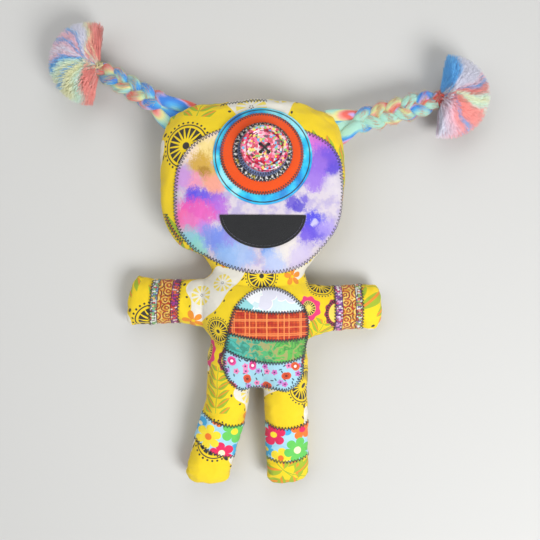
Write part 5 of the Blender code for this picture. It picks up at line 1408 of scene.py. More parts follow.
def belly_strip(index):
    """Plan of one strip: a Coons patch of two cuts and the belly's two sides."""
    def corners_of(s, t):
        left, right = (smooth_curve(side, cuts[index] + (cuts[index + 1] - cuts[index]) * t)
                       for side, cuts in ((belly_left, LEFT_CUTS), (belly_right, RIGHT_CUTS)))
        low, high = belly_cut(index, s), belly_cut(index + 1, s)
        ends = np.array([0.0, 1.0])
        a, b = belly_cut(index, ends), belly_cut(index + 1, ends)
        s, t = s[:, None], t[:, None]
        mixed = (1 - s) * (1 - t) * a[0] + s * (1 - t) * a[1] + (1 - s) * t * b[0] + s * t * b[1]
        return (1 - s) * left + s * right + (1 - t) * low + t * high - mixed
    return corners_of


def scattered(finish, place, spacing, jitter=1.0):
    """Motif places, one to each cell of about that spacing: distance, angle and a chance number."""
    links = {"Vector": place, "Scale": 1.0 / spacing, "Randomness": jitter}
    node = finish.node("ShaderNodeTexVoronoi", links, voronoi_dimensions="2D")
    away = finish.node("ShaderNodeVectorMath", {0: place, 1: node.outputs["Position"]},
                       operation="SUBTRACT")
    x, y, _ = finish.parts(away.outputs[0])
    pick, spin, _ = finish.parts(node.outputs["Color"])
    r, angle = polar(x, y)
    return r, angle + spin * FULL_SPIN, pick


ditsy = Finish("pale_blue_small_flowers", 0.8, 0.12)
place, u, v = ditsy.flat()
colour = ditsy.mix(ditsy.noise(place, 0.02, 2.0), dye(150, 204, 224), dye(176, 218, 232))
r, angle, _ = scattered(ditsy, place, 0.0062)
leaf = polar((angle.to("COSINE") * r) * 2.6, angle.to("SINE") * r)[0].under(0.0013, INK_EDGE)
colour = ditsy.mix(leaf, colour, dye(56, 84, 104))
r, angle, pick = scattered(ditsy, ditsy.stretched(place, shift=(0.0037, 0.0021, 0.0)), 0.0082, 0.75)
bloom = r.under((angle * 2.5).to("COSINE").size() * 0.0008 + 0.0016, INK_EDGE)
BLOOM_SHADES = [(0.0, dye(206, 104, 186)), (0.35, dye(236, 130, 184)), (0.62, dye(190, 140, 212)),
                (0.84, dye(246, 242, 236))]
colour = ditsy.mix(bloom, colour, ditsy.bands(pick, BLOOM_SHADES, "CONSTANT"))
colour = ditsy.mix(r.under(0.0007, INK_EDGE), colour, dye(86, 44, 96))
r, angle, pick = scattered(ditsy, ditsy.stretched(place, shift=(0.0091, 0.0048, 0.0)), 0.0148, 0.6)
bud = r.under(angle.to("COSINE").size() * 0.0010 + 0.0027, INK_EDGE)
BUD_SHADES = [(0.0, dye(222, 84, 40)), (0.45, dye(238, 70, 156)), (0.72, dye(228, 96, 48))]
HEART_SHADES = [(0.0, dye(120, 36, 30)), (0.45, dye(250, 244, 240))]
colour = ditsy.mix(bud, colour, ditsy.bands(pick, BUD_SHADES, "CONSTANT"))
colour = ditsy.mix((r - 0.0019).size().under(0.00022, 0.0002) * 0.8, colour, dye(150, 40, 34))
colour = ditsy.mix(r.under(0.0011, INK_EDGE), colour, ditsy.bands(pick, HEART_SHADES, "CONSTANT"))
ditsy.colour(colour)
cotton_relief(ditsy, place, u, v)

batik = Finish("green_batik", 0.8, 0.12)
place, u, v = batik.flat()
veined = batik.moved(batik.moved(place, 0.010, 0.006), 0.003, 0.0016)
veins = (batik.noise(batik.stretched(veined, (0.7, 1.0, 1.0)), 0.0085, 1.5) * 26.0).to("SINE")
tone = batik.noise(place, 0.014, 3.0) * 0.5 + (u * 14.0) + 0.05
colour = batik.bands(tone, [(0.0, dye(78, 186, 176)), (0.30, dye(76, 172, 138)), (0.55, dye(92, 188, 84)),
                            (0.85, dye(108, 176, 78))])
colour = batik.mix(veins.over(0.70, 0.25) * 0.8, colour, dye(176, 160, 104))
colour = batik.mix(veins.under(-0.80, 0.25) * 0.5, colour, dye(34, 92, 66))
batik.colour(colour)
cotton_relief(batik, place, u, v)

check = Finish("red_orange_check", 0.8, 0.12)
place, u, v = check.flat()
cu, cv, _ = check.parts(check.moved(place, 0.0025, 0.0003))
patchy = check.noise(place, 0.007, 2.0).over(0.5, 0.22)
slubs = check.noise(check.stretched(place, (1.0, 4.0, 1.0)), 0.0009, 3.0, 0.7)
colour = check.mix(patchy, dye(230, 90, 34), dye(198, 42, 26))
colour = check.shaded(colour, slubs, 0.75)
for term, pitch in ((cu, 0.0026), (cv, 0.0023)):
    darker = (term * (2 * math.pi / pitch)).to("SINE").over(0.1, 0.5)
    colour = check.mix(darker * 0.38, colour, dye(146, 24, 18))
for term, pitch, start in ((cu, 0.0083, 0.0010), (cu, 0.0131, 0.0060), (cv, 0.0098, 0.0024),
                           (cv, 0.0061, 0.0)):
    line = (term + start).to("WRAP", pitch / 2, -pitch / 2).size()
    colour = check.mix(line.under(0.00040, 0.0005) * 0.8, colour, dye(252, 152, 84))
check.colour(colour)
cotton_relief(check, place, u, v)

petal = Finish("white_and_aqua_petals", 0.8, 0.12)
place, u, v = petal.flat()
r, angle, pick = scattered(petal, place, 0.0150, 0.9)
colour = petal.mix(petal.noise(place, 0.03, 1.0), dye(206, 234, 238), dye(222, 240, 244))
reach = angle.to("COSINE").size() * 0.0060 + 0.0040
PETAL_SHADES = [(0.0, dye(150, 216, 220)), (0.30, dye(226, 226, 240)), (0.55, dye(186, 176, 214)),
                (0.75, dye(244, 246, 248))]
colour = petal.mix(r.under(reach, INK_EDGE), colour, petal.bands(pick, PETAL_SHADES, "CONSTANT"))
petal.colour(petal.mix((r - reach).size().under(0.0005, INK_EDGE), colour, dye(250, 250, 250)))
cotton_relief(petal, place, u, v)

for index, (node, finish, slot) in enumerate((
        ("belly_ditsy_strip", ditsy, "pale_blue_cotton"),
        ("belly_batik_strip", batik, "green_batik_cotton"),
        ("belly_check_strip", check, "red_check_cotton"),
        ("belly_petal_strip", petal, "white_print_cotton"))):
    piece = laid_strip(f"{node}_cloth", "torso", belly_strip(index), BELLY_COLUMNS, BELLY_ROWS,
                       CLOTH_LOW, CLOTH_HIGH, finish.material)
    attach(piece, "torso")
    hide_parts(node)
steps = np.linspace(0.0, 1.0, CUT_POINTS)
belly_border = np.concatenate([belly_cut(0, steps), smooth_curve(belly_right, steps)[1:],
                               belly_cut(4, steps)[::-1][1:],
                               smooth_curve(belly_left, steps)[::-1][1:-1]])
belly_zigzag = round_zigzag("belly_border_zigzag", "torso", belly_border, 0.0, CLOTH_HIGH,
                            thread.material, JOIN_STEP, BORDER_REACH)
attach(belly_zigzag, "torso")


def join_zigzag(name, body, line, step, width, rise):
    """Zigzag along an open join: places in turn above and below its line."""
    gone = path_gone(line)
    at = np.arange(0.0, gone[-1], step)
    path, half_on = places_along(line, gone, at), places_along(line, gone, at + step / 2)
    way = np.gradient(path, axis=0)
    way /= np.linalg.norm(way, axis=1, keepdims=True)
    beside = np.stack([-way[:, 1], way[:, 0]], axis=-1) * width / 2
    return zigzag(name, body, path - beside, (half_on + beside)[:-1], rise, rise, thread.material)


for index in (1, 2, 3):
    piece = join_zigzag(f"belly_join_{index}_zigzag", "torso", belly_cut(index, steps), JOIN_STEP,
                        JOIN_WIDTH, CLOTH_HIGH)
    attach(piece, "torso")


# Seam closings: close black zigzag over the seam where the head was turned and filled, at its crown
# and at its jaw.
CLOSING_STEP, CLOSING_WIDTH, CLOSING_POINTS = 0.0024, 0.0034, 60
CROWN_SPAN, CROWN_SHIFT = (0.32, 0.60), (0.0, -0.0056)
JAW_SPAN, JAW_SHIFT = (0.22, 0.42), (0.0040, 0.0026)
crown_line = lengths["head"].tip(np.linspace(*CROWN_SPAN, CLOSING_POINTS))[:, :2] + CROWN_SHIFT
jaw_line = lengths["head"].left(np.linspace(*JAW_SPAN, CLOSING_POINTS))[::-1, :2] + JAW_SHIFT
for name, line in (("crown", crown_line), ("jaw", jaw_line)):
    piece = join_zigzag(f"{name}_seam_zigzag", "head", line, CLOSING_STEP, CLOSING_WIDTH, 0.0)
    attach(piece, "head")


# Cuffs: a woven ribbon across each arm, with gold scrolls between two coloured edges. Its ends are
# caught in the arm's seams and its long sides are zigzagged down.
LEFT_CUFF, RIGHT_CUFF = ((0.336, 0.716), (0.330, 0.740)), ((0.365, 0.751), (0.382, 0.800))
CUFF_HIGH, CUFF_COLUMNS, CUFF_ROWS = 0.0010, 40, 24
BAND_MARGIN, BAND_POINTS, BAND_STITCH = 0.012, 40, 0.0024
RIBBON_SIZE = (0.050, 0.023, 1.0)
TILE_EDGE = 0.00088


def band_plan(body, left_ends, right_ends, sag):
    """Plan of a band from seam to seam: a straight line at each end, which sags by a parabola."""
    length = lengths[body]
    left, right = length.left(np.array(left_ends))[:, :2], length.right(np.array(right_ends))[:, :2]
    axis = (length.tip(np.array([0.5])) - length.base(np.array([0.5])))[0, :2]

    def corners_of(s, t):
        s, t = s[:, None], t[:, None]
        s = BAND_MARGIN + (1.0 - 2.0 * BAND_MARGIN) * s
        line = (left[0] + (right[0] - left[0]) * s) * (1 - t) + (left[1] + (right[1] - left[1]) * s) * t
        return line + axis * sag * (1.0 - (2.0 * s - 1.0) ** 2)
    return corners_of


def ribbon_finish(name, near_edge, far_edge):
    """Woven ribbon, mapped in shares: u along it and v across.

    Curled gold, as rings about scattered places that a noise has bent, between two bands of tiles.
    """
    finish = Finish(name, 0.45, 0.1)
    place, u, v = finish.flat()
    place = finish.stretched(place, RIBBON_SIZE)
    curl = scattered(finish, finish.moved(place, 0.006, 0.0016), 0.0080, 0.7)[0]
    rings = (curl * 2500.0 + 0.6).to("SINE")
    gold = rings.over(-0.30, 0.5)
    ground = finish.noise(place, 0.006, 2.0).over(0.52, 0.1)
    ground = finish.mix(ground, dye(200, 66, 34), dye(142, 44, 30))
    # Painted glints: the gold is lighter in patches of a noise.
    gold_glint = finish.noise(place, 0.0030, 2.0).over(0.52, 0.2)
    colour = finish.mix(gold, ground, finish.mix(gold_glint, dye(232, 168, 58), dye(250, 216, 116)))
    colour = finish.mix((rings + 0.45).size().under(0.10, 0.25) * 0.85, colour, dye(84, 36, 26))
    for low, high, tones in ((0.0, 0.25, near_edge), (0.77, 1.0, far_edge)):
        inside = v.over(low, 0.01) * v.under(high, 0.01)
        r, _, pick = scattered(finish, finish.stretched(place, (1.0, 0.7, 1.0)), 0.0017, 0.55)
        tiles = finish.mix(r.over(TILE_EDGE, 0.0003), finish.bands(pick, tones, "CONSTANT"),
                           dye(96, 70, 84))
        colour = finish.mix(inside, colour, tiles)
    for line in (0.26, 0.76):
        colour = finish.mix((v - line).size().under(0.013, 0.012), colour, dye(46, 30, 34))
    finish.colour(colour)
    finish.tree.links.new((gold * v.over(0.26, 0.02) * v.under(0.76, 0.02) * 0.3).socket,
                          finish.shader.inputs["Metallic"])
    finish.relief((gold, 0.00035), ((u * 420.0).to("SINE"), 0.00008))
    return finish.material


def end_zigzags(names, body, corners_of, width, rise):
    """Zigzag along both ends of a band, the near one first."""
    for name, end in zip(names, (0.0, 1.0)):
        line = corners_of(np.linspace(0.0, 1.0, BAND_POINTS), np.full(BAND_POINTS, end))
        stitches = join_zigzag(name, body, line, BAND_STITCH, width, rise)
        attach(stitches, body)


left_ribbon = ribbon_finish(
    "gold_ribbon_left",
    [(0.0, dye(214, 44, 40)), (0.26, dye(238, 112, 60)), (0.42, dye(176, 56, 156)),
     (0.60, dye(240, 212, 200)), (0.74, dye(216, 60, 112)), (0.90, dye(122, 44, 112))],
    [(0.0, dye(234, 236, 224)), (0.34, dye(136, 194, 124)), (0.50, dye(240, 202, 124)),
     (0.64, dye(226, 230, 232)), (0.80, dye(206, 96, 84)), (0.90, dye(114, 152, 192))])
right_ribbon = ribbon_finish(
    "gold_ribbon_right",
    [(0.0, dye(134, 68, 162)), (0.28, dye(228, 172, 222)), (0.48, dye(240, 232, 236)),
     (0.64, dye(210, 62, 112)), (0.80, dye(94, 62, 152)), (0.90, dye(216, 122, 182))],
    [(0.0, dye(228, 232, 222)), (0.30, dye(164, 192, 92)), (0.48, dye(232, 152, 122)),
     (0.64, dye(240, 236, 226)), (0.80, dye(134, 112, 172)), (0.90, dye(192, 72, 60))])
for side, ends, ribbon in (("left", LEFT_CUFF, left_ribbon), ("right", RIGHT_CUFF, right_ribbon)):
    arm = f"{side}_arm"
    band = band_plan(arm, *ends, 0.0)
    piece = laid_strip(f"{side}_ribbon_cuff", arm, band, CUFF_COLUMNS, CUFF_ROWS, CLOTH_LOW, CUFF_HIGH,
                       ribbon, in_shares=True)
    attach(piece, arm)
    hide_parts(f"{side}_cuff")
    end_zigzags((f"{side}_cuff_inner_zigzag", f"{side}_cuff_outer_zigzag"), arm, band, 0.0022, 0.0006)


# Leg patches: pale blue cotton with bold flowers, across the front of each leg. Their sides are
# caught in the leg's seams and their ends are zigzagged down.
LEFT_PATCH, RIGHT_PATCH = ((0.374, 0.744), (0.235, 0.538)), ((0.364, 0.752), (0.353, 0.734))
PATCH_SAG, PATCH_COLUMNS, PATCH_ROWS = 0.050, 40, 30
POND_BLUE, GRASS, LEMON = dye(64, 172, 226), dye(104, 204, 92), dye(252, 226, 48)
CRIMSON, TANGERINE, CREAM_WHITE = dye(232, 32, 92), dye(248, 122, 36), dye(250, 240, 200)
BLOSSOMS = (
    (-0.0455, -0.0655, 1.5, 0.0062, POND_BLUE, CREAM_WHITE),
    (-0.0165, -0.0870, 2.0, 0.0060, POND_BLUE, LEMON),
    (-0.0290, -0.0885, 2.5, 0.0092, CRIMSON, CREAM_WHITE), (-0.0190, -0.0715, 2.5, 0.0100, GRASS, LEMON),
    (-0.0390, -0.0755, 3.0, 0.0102, LEMON, TANGERINE), (-0.0310, -0.0625, 2.0, 0.0046, TANGERINE, CRIMSON),
    (0.0225, -0.0680, 1.5, 0.0058, POND_BLUE, CREAM_WHITE), (0.0070, -0.0870, 2.0, 0.0066, POND_BLUE, LEMON),
    (0.0345, -0.0700, 2.5, 0.0086, TANGERINE, CRIMSON), (0.0185, -0.0925, 2.5, 0.0082, LEMON, TANGERINE),
    (0.0310, -0.0865, 3.0, 0.0104, GRASS, CREAM_WHITE), (0.0130, -0.0740, 2.5, 0.0094, CRIMSON, LEMON),
)
floral = Finish("bold_flowered_cotton", 0.8, 0.12)
place, u, v = floral.flat()
colour = floral.mix(floral.noise(place, 0.03, 1.0), dye(150, 208, 236), dye(180, 222, 240))
for x, y, petals, size, shade, centre in BLOSSOMS:
    r, angle = polar(u - x, v - y)
    lobes = ((angle + 60.0 * x) * petals).to("COSINE").size().to("POWER", 0.4)
    reach = lobes * (0.55 * size) + 0.45 * size
    colour = floral.mix(r.under(reach, INK_EDGE), colour, shade)
    colour = floral.mix(r.under(0.27 * size, INK_EDGE), colour, centre)
floral.colour(colour)
cotton_relief(floral, place, u, v)
for side, ends in (("left", LEFT_PATCH), ("right", RIGHT_PATCH)):
    leg = f"{side}_leg"
    band = band_plan(leg, *ends, PATCH_SAG)
    piece = laid_strip(f"{side}_leg_patch_cloth", leg, band, PATCH_COLUMNS, PATCH_ROWS, CLOTH_LOW,
                       CLOTH_HIGH, floral.material)
    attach(piece, leg)
    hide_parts(f"{side}_leg_patch")
    end_zigzags((f"{side}_patch_upper_zigzag", f"{side}_patch_lower_zigzag"), leg, band, 0.0030, 0.0005)


# Pigtails: fleece in three fluffy hanks, caught side by side in the seam, plaited flat, tied with
# yarn and brushed out into a round tuft beyond the tie.
BRAIDS = {"left": (0.035, 0.0794, math.radians(149.0), 0.80, math.radians(172.0)),
          "right": (0.935, 0.0909, math.radians(15.6), 1.0, math.radians(-7.0))}
HANK_RADIUS, PLAIT_HALF_WIDTH, PLAIT_HALF_DEPTH, PLAIT_PITCH = 0.0023, 0.0070, 0.0044, 0.0370
PLAIT_CINCH, PLAIT_EASE, PLAIT_TIED = 0.70, 0.14, 0.10
ROOT_LENGTH, TIE_HEIGHT = 0.0155, 0.0216
TASSEL_REACH, TASSEL_FLAT, TASSEL_SPREAD = 0.0330, 0.66, math.radians(98.0)
FULL_RADIUS, FULL_SWING, FULL_LIFT = 0.0047, 0.0054, 0.0026
SEAM_SPREAD, SEAM_RADIUS, SEAM_FLAT = 0.0098, 0.0054, 0.36
HANK_POINTS, ROOT_POINTS, HANK_SIDES, HANK_FLAT = 110, 24, 22, 0.86
CAUGHT_IN, CAUGHT_AHEAD, LEAVING_BACK, PLAIT_OVERRUN = 0.0046, 0.0074, 0.0060, 0.002
THIN_FROM, THIN_BY = 0.93, 0.35
STRAYS, STRAY_RADIUS, STRAY_POINTS, STRAY_ENDS = 1500, 0.00007, 6, (0.19, 0.985)
TIE_TURNS, TIE_LENGTH, TIE_WIDE, TIE_DEEP, TIE_CLEAR = 3, 0.0052, 0.80, 0.9, 0.0009
KNOT_TURNS, YARN_RADIUS, YARN_SIDES = 1.4, 0.00085, 10
TUFT_FIBRES, TUFT_RADIUS, TUFT_THIN, SHORT_SHARE = 8000, 0.00021, 0.30, 0.10
FLOOR_GAP = 0.0004
YARNS = {"left": ("pale_yellow_yarn", dye(214, 204, 140), dye(238, 232, 184)),
         "right": ("coral_yarn", dye(196, 62, 58), dye(226, 92, 78))}
CORAL, SALMON, CREAM, MINT = dye(244, 108, 98), dye(250, 168, 156), dye(240, 236, 160), dye(178, 232, 214)
SKY, BLUE, LILAC = dye(84, 178, 240), dye(58, 136, 234), dye(202, 182, 240)
FLEECE = {"left": [(0.0, BLUE), (0.22, SKY), (0.36, MINT), (0.46, CREAM), (0.56, SALMON), (0.66, CORAL),
                   (0.76, CORAL), (0.84, LILAC), (0.92, BLUE), (1.0, BLUE)],
          "right": [(0.0, MINT), (0.30, MINT), (0.38, CREAM), (0.46, SALMON), (0.54, CORAL),
                    (0.62, CORAL), (0.70, LILAC), (0.78, BLUE), (0.88, SKY), (1.0, MINT)]}
TUFT_CORAL, TUFT_PINK, TUFT_WHITE = dye(255, 164, 156), dye(255, 206, 218), dye(240, 240, 255)
TUFT_BLUE, TUFT_CREAM, TUFT_MINT = dye(108, 192, 255), dye(252, 252, 206), dye(222, 255, 242)
TUFT = {"left": [(0.0, TUFT_CORAL), (0.04, TUFT_CORAL), (0.10, TUFT_MINT), (0.18, TUFT_CREAM),
                 (0.26, TUFT_CREAM), (0.29, TUFT_BLUE), (0.32, TUFT_CREAM), (0.40, TUFT_MINT),
                 (0.43, TUFT_BLUE), (0.46, TUFT_BLUE), (0.49, TUFT_PINK), (0.55, TUFT_WHITE),
                 (0.62, TUFT_PINK), (0.66, TUFT_BLUE), (0.69, TUFT_PINK), (0.74, TUFT_PINK),
                 (0.77, TUFT_BLUE), (0.80, TUFT_WHITE), (0.88, TUFT_WHITE), (0.92, TUFT_CREAM),
                 (0.96, TUFT_CORAL), (1.0, TUFT_CORAL)],
        "right": [(0.0, TUFT_BLUE), (0.07, TUFT_BLUE), (0.12, TUFT_WHITE), (0.30, TUFT_WHITE),
                  (0.34, TUFT_PINK), (0.37, TUFT_BLUE), (0.40, TUFT_CORAL), (0.45, TUFT_CORAL),
                  (0.48, TUFT_MINT), (0.53, TUFT_CREAM), (0.58, TUFT_MINT), (0.62, TUFT_CORAL),
                  (0.76, TUFT_CORAL), (0.79, TUFT_BLUE), (0.82, TUFT_CORAL), (0.88, TUFT_PINK),
                  (1.0, TUFT_WHITE)]}


def fleece(name, colours, shift):
    """Dyed fleece: patches of colour longer along the hank, streaked as finely as fibres, with painted shade
    in the grooves.
    """
    finish = Finish(name, 0.85, 0.5)
    place = finish.flat()[0]
    streaks = finish.noise(finish.stretched(place, (1.0, 0.07, 1.0)), 0.0008, 3.0, 0.7)
    patches = finish.stretched(place, (0.9, 0.5, 1.0), (shift, 0.3 * shift, 0.0))
    pick = (finish.noise(patches, 0.0135, 0.5) * 2.3 + (streaks - 0.5) * 0.14 + shift).to("WRAP", 1.0, 0.0)
    # Painted shade: darker where the streaks' bump is low, in the grooves between them.
    finish.colour(finish.shaded(finish.bands(pick, colours), streaks, 0.80))
    finish.relief((streaks, 0.0007))
    return finish.material


def plait_size(share, taper):
    """How full the plait is, as a share: it tapers evenly and is cinched smoothly at the tie."""
    begun = (share - 1.0 + PLAIT_TIED + PLAIT_EASE) / PLAIT_EASE
    return (1.0 - (1.0 - taper) * share) * (1.0 - (1.0 - PLAIT_CINCH) * ease(begun))


for side, (root_share, length, heading, taper, fan_heading) in BRAIDS.items():
    head = lengths["head"]
    x, y, _ = (head.tip if side == "left" else head.right)(np.array([root_share]))[0]
    root = np.array([x, y, HEAD_SEAM_HEIGHT])
    tip = root + length * np.array([math.cos(heading), math.sin(heading), 0.0])
    tip[2] = TIE_HEIGHT
    ahead = (tip - root) / np.linalg.norm(tip - root)
    beside = np.cross((0.0, 0.0, 1.0), ahead)
    beside /= np.linalg.norm(beside)
    above = np.cross(ahead, beside)
    body = f"{side}_braid"
    axes = np.stack([ahead, beside, above])
    end_half = (PLAIT_HALF_WIDTH + HANK_RADIUS) * taper * PLAIT_CINCH
    stop = length - end_half * math.tan(TASSEL_SPREAD + abs(fan_heading - heading) - math.pi / 2) - 0.0003

    # Where the seam lies ahead of the root, for a place beside it.
    shares = np.linspace(0.0, 1.0, 400)
    seam_line = np.concatenate([head.left(shares), head.tip(shares), head.right(shares)[::-1]])
    seam_line = seam_line[:, :2] - root[:2]
    near = np.hypot(*seam_line.T) < 0.030
    seam_out, seam_beside = seam_line[near] @ ahead[:2], seam_line[near] @ beside[:2]
    order = np.argsort(seam_beside)

    # The hanks: side by side from the seam, then each from side to side of the plait.
    share = np.linspace(0.0, 1.0, HANK_POINTS)
    turns = (stop - ROOT_LENGTH) / PLAIT_PITCH
    size = plait_size(share, taper)
    gone = np.linspace(0.0, 1.0, ROOT_POINTS)[:-1]
    s = gone[:, None]
    hank_paths, hank_radii = [], []
    for index, place in ((0, 0.0), (1, SEAM_SPREAD), (2, -SEAM_SPREAD)):
        turn = 2.0 * math.pi * (index / 3.0 + turns * share)
        plaited = np.stack([ROOT_LENGTH + (stop - ROOT_LENGTH + PLAIT_OVERRUN) * share,
                            FULL_SWING * size * np.sin(turn), FULL_LIFT * size * np.sin(2.0 * turn)],
                           axis=-1)
        at_seam = np.interp(place, seam_beside[order], seam_out[order])
        caught = np.array([at_seam - CAUGHT_IN, place, 0.0])
        pull = plaited[1] - plaited[0]
        leaving = plaited[0] - pull / np.linalg.norm(pull) * LEAVING_BACK
        first = caught + np.array([CAUGHT_AHEAD, 0.0, 0.0])
        rooted = ((1 - s) ** 3 * caught + 3 * s * (1 - s) ** 2 * first + 3 * s**2 * (1 - s) * leaving
                  + s**3 * plaited[0])
        hank_paths.append(root + np.concatenate([rooted, plaited]) @ axes)
        radius = FULL_RADIUS * size * (1.0 - THIN_BY * ease((share - THIN_FROM) / (1.0 - THIN_FROM)))
        hank_radii.append(np.concatenate([SEAM_RADIUS + (radius[0] - SEAM_RADIUS) * ease(gone), radius]))
    paths, radii = np.stack(hank_paths), np.stack(hank_radii)
    flatness = np.concatenate([SEAM_FLAT + (HANK_FLAT - SEAM_FLAT) * ease(gone),
                               np.full(HANK_POINTS, HANK_FLAT)])
    for index in range(3):
        hank = strands(f"{side}_fleece_hank_{index + 1}", paths[index][None], radii[index][None],
                       HANK_SIDES, fleece(f"fleece_{side}_{index + 1}", FLEECE[side], 0.31 * index + 0.05),
                       above, flatness)
        tuple(root + 0.9 * ROOT_LENGTH * ahead)
        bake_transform(hank)
        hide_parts(f"{side}_braid_hank_{index + 1}", *([f"{side}_braid_root"] if index == 0 else []))

    # Stray fibres: each starts on a hank, runs along it and lifts away at its end.
    chance = np.random.default_rng(11 if side == "left" else 12)
    run = np.linspace(0.0, 1.0, STRAY_POINTS)
    which = chance.integers(0, 3, STRAYS)
    long = chance.uniform(0.007, 0.016, STRAYS) / length * chance.choice([-1.0, 1.0], STRAYS)
    along = np.clip(chance.uniform(0.22, 0.93, STRAYS)[:, None] + long[:, None] * run, *STRAY_ENDS)
    facing = (chance.uniform(0, 2 * math.pi, STRAYS)[:, None]
              + chance.normal(0.0, 0.5, (STRAYS, 1)) * run)
    lift = 0.00005 + chance.uniform(0.0003, 0.0026, STRAYS)[:, None] * run**2
    every = np.linspace(0.0, 1.0, paths.shape[1])

    def on_hanks(values):
        """A value that all hanks have along them, at the fibres' places on their own hanks."""
        return np.choose(which[:, None], [np.interp(along, every, values[k]) for k in range(3)])

    spot = np.stack([on_hanks(paths[..., c]) for c in range(3)], axis=-1)
    round_it = on_hanks(radii) * 0.93 + lift
    path = (spot + (round_it * np.cos(facing))[..., None] * beside
            + (round_it * np.sin(facing))[..., None] * above)
    path[..., 2] = np.maximum(path[..., 2], FLOOR_GAP)
    stray = strands(f"{side}_stray_fibres", path, STRAY_RADIUS, 3,
                    fleece(f"fleece_stray_{side}", FLEECE[side], 0.5))
    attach(stray, body)

    # The yarn tie: three turns round the neck of the plait, a knot and two tails.
    neck = plait_size(1.0 - PLAIT_TIED, taper)
    wide = (PLAIT_HALF_WIDTH + HANK_RADIUS) * neck * TIE_WIDE + TIE_CLEAR
    deep = (PLAIT_HALF_DEPTH + HANK_RADIUS) * neck * TIE_DEEP + TIE_CLEAR
    wind = np.linspace(0.0, 1.0, 120)
    turn = math.pi / 2 + 2.0 * math.pi * TIE_TURNS * wind
    ring = np.stack([stop - TIE_LENGTH + TIE_LENGTH * wind, wide * np.cos(turn), deep * np.sin(turn)],
                    axis=-1)
    t = np.linspace(0.0, 1.0, 14)[1:]
    tails = [end + np.stack([way * 0.0040 * t, way * 0.0030 * t, 0.0085 * t - 0.0030 * t**2], axis=-1)
             for way, end in ((-1, ring[0]), (1, ring[-1]))]
    knot_turn = np.linspace(0.0, 2 * math.pi * KNOT_TURNS, 30)
    knot = np.stack([stop - TIE_LENGTH / 2 + 0.0018 * np.cos(knot_turn), 0.0016 * np.sin(knot_turn),
                     deep + 0.0012 + 0.0008 * np.sin(knot_turn * 2)], axis=-1)
    yarn_name, dark, light = YARNS[side]
    yarn = Finish(yarn_name, 0.85, 0.5)
    place, u, v = yarn.flat()
    ply = (v * 1900.0 + u * 2600.0).to("SINE")
    yarn.colour(yarn.mix(ply.to("MULTIPLY_ADD", 0.5, 0.5), dark, light))
    yarn.relief((ply, 0.0004), (yarn.noise(place, 0.0006, 3.0), 0.0002))
    loop = root + np.concatenate([tails[0][::-1], ring, tails[1]]) @ axes
    tie = strands(f"{side}_yarn_tie", loop[None], YARN_RADIUS, YARN_SIDES, yarn.material, ahead + 0.01)
    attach(tie, body)
    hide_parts(f"{side}_braid_tie")
    knotted = strands(f"{side}_tie_knot", (root + knot @ axes)[None], YARN_RADIUS, YARN_SIDES,
                      yarn.material, above + 0.01)
    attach(knotted, body)

    # The tuft: thousands of cut fibres that fan from the tie, dyed by the way that they point.
    azimuth = chance.uniform(-1.0, 1.0, TUFT_FIBRES) * TASSEL_SPREAD
    lift = np.arcsin(chance.uniform(-0.75, 1.0, TUFT_FIBRES))
    reach = (TASSEL_REACH * chance.uniform(0.90, 1.03, TUFT_FIBRES)
             * (1 - 0.20 * (chance.uniform(0, 1, TUFT_FIBRES) < SHORT_SHARE)))
    end = np.stack([reach * np.cos(lift) * np.cos(azimuth + fan_heading),
                    reach * np.cos(lift) * np.sin(azimuth + fan_heading),
                    TASSEL_FLAT * reach * np.sin(lift)], axis=-1)
    near = (-chance.uniform(0.003, 0.0075, TUFT_FIBRES)[:, None] * ahead
            + chance.uniform(-0.0036, 0.0036, TUFT_FIBRES)[:, None] * taper * beside
            + chance.uniform(-0.0030, 0.0030, TUFT_FIBRES)[:, None] * above)
    bow = near + end * 0.33 + 0.0030 * ahead + chance.normal(0.0, 0.0008, (TUFT_FIBRES, 3))
    t = np.array([0.0, 0.25, 0.6, 1.0])[None, :, None]
    path = tip + (1 - t) ** 2 * near[:, None] + 2 * t * (1 - t) * bow[:, None] + t**2 * end[:, None]
    path[..., 2] = np.maximum(path[..., 2], FLOOR_GAP + 0.0016 * chance.uniform(0, 1, (TUFT_FIBRES, 1)))
    radius = np.broadcast_to(TUFT_RADIUS * (1.0 - TUFT_THIN * t[:, :, 0]), path.shape[:2])
    tuft_finish = Finish(f"tuft_fleece_{side}", 0.85, 0.4)
    sector = tuft_finish.node("ShaderNodeAttribute", attribute_name="lock").outputs["Fac"]
    tuft_finish.colour(tuft_finish.bands(Term(tuft_finish.tree, sector), TUFT[side]))
    tuft = strands(f"{side}_tuft", path, radius, 3, tuft_finish.material)
    lock = ((1.0 - azimuth / TASSEL_SPREAD) * 0.5 + 0.03 * np.sin(5.0 * lift)
            + chance.normal(0, 0.012, TUFT_FIBRES))
    attribute = tuft.data.attributes.new("lock", "FLOAT", "POINT")
    lock = np.repeat(np.clip(lock, 0.0, 1.0), len(tuft.data.vertices) // TUFT_FIBRES)
    attribute.data.foreach_set("value", lock.astype(np.float32))
    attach(tuft, body)
    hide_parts(f"{side}_tassel")


# Floor and light: a pale plain floor and soft lamps, the main one from the lower right.
floor_finish = Finish("pale_floor", 0.9)
floor_finish.shader.inputs["Base Color"].default_value = dye(204, 204, 202)
floor = mesh_object("floor", [(-3, -3, 0), (3, -3, 0), (3, 3, 0), (-3, 3, 0)], [(0, 1, 2, 3)],
                    floor_finish.material)
LAMP_AIM = Vector((0, 0.05, 0))
for place, size, power in (((0.55, -0.50, 0.90), 0.55, 12.0), ((-0.70, 0.30, 1.00), 1.00, 4.0),
                           ((0.10, 0.90, 0.90), 0.90, 3.6)):
    lamp = bpy.data.lights.new("lamp", "AREA")
    lamp.energy, lamp.size = power, size
    holder = bpy.data.objects.new("lamp", lamp)
    holder.location = place
    holder.rotation_euler = (LAMP_AIM - Vector(place)).to_track_quat("-Z", "Y").to_euler()
    scene.collection.objects.link(holder)
world = bpy.data.worlds.new("studio")
scene.world = world
world.use_nodes = True
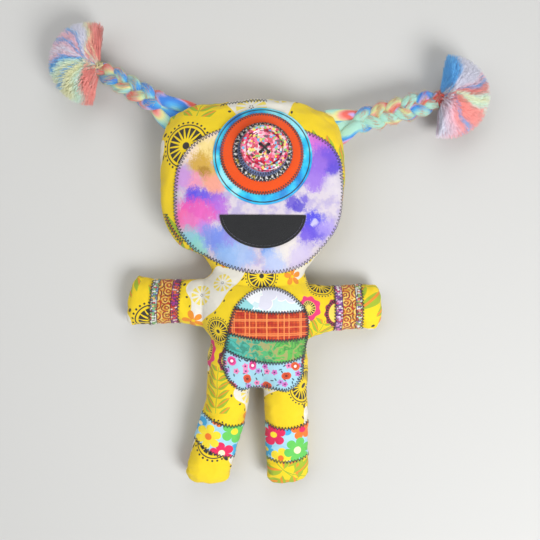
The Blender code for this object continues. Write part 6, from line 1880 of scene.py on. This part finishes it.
world.node_tree.nodes["Background"].inputs["Color"].default_value = (1.0, 1.0, 1.0, 1.0)
world.node_tree.nodes["Background"].inputs["Strength"].default_value = 0.30
scene.view_settings.view_transform = "Standard"
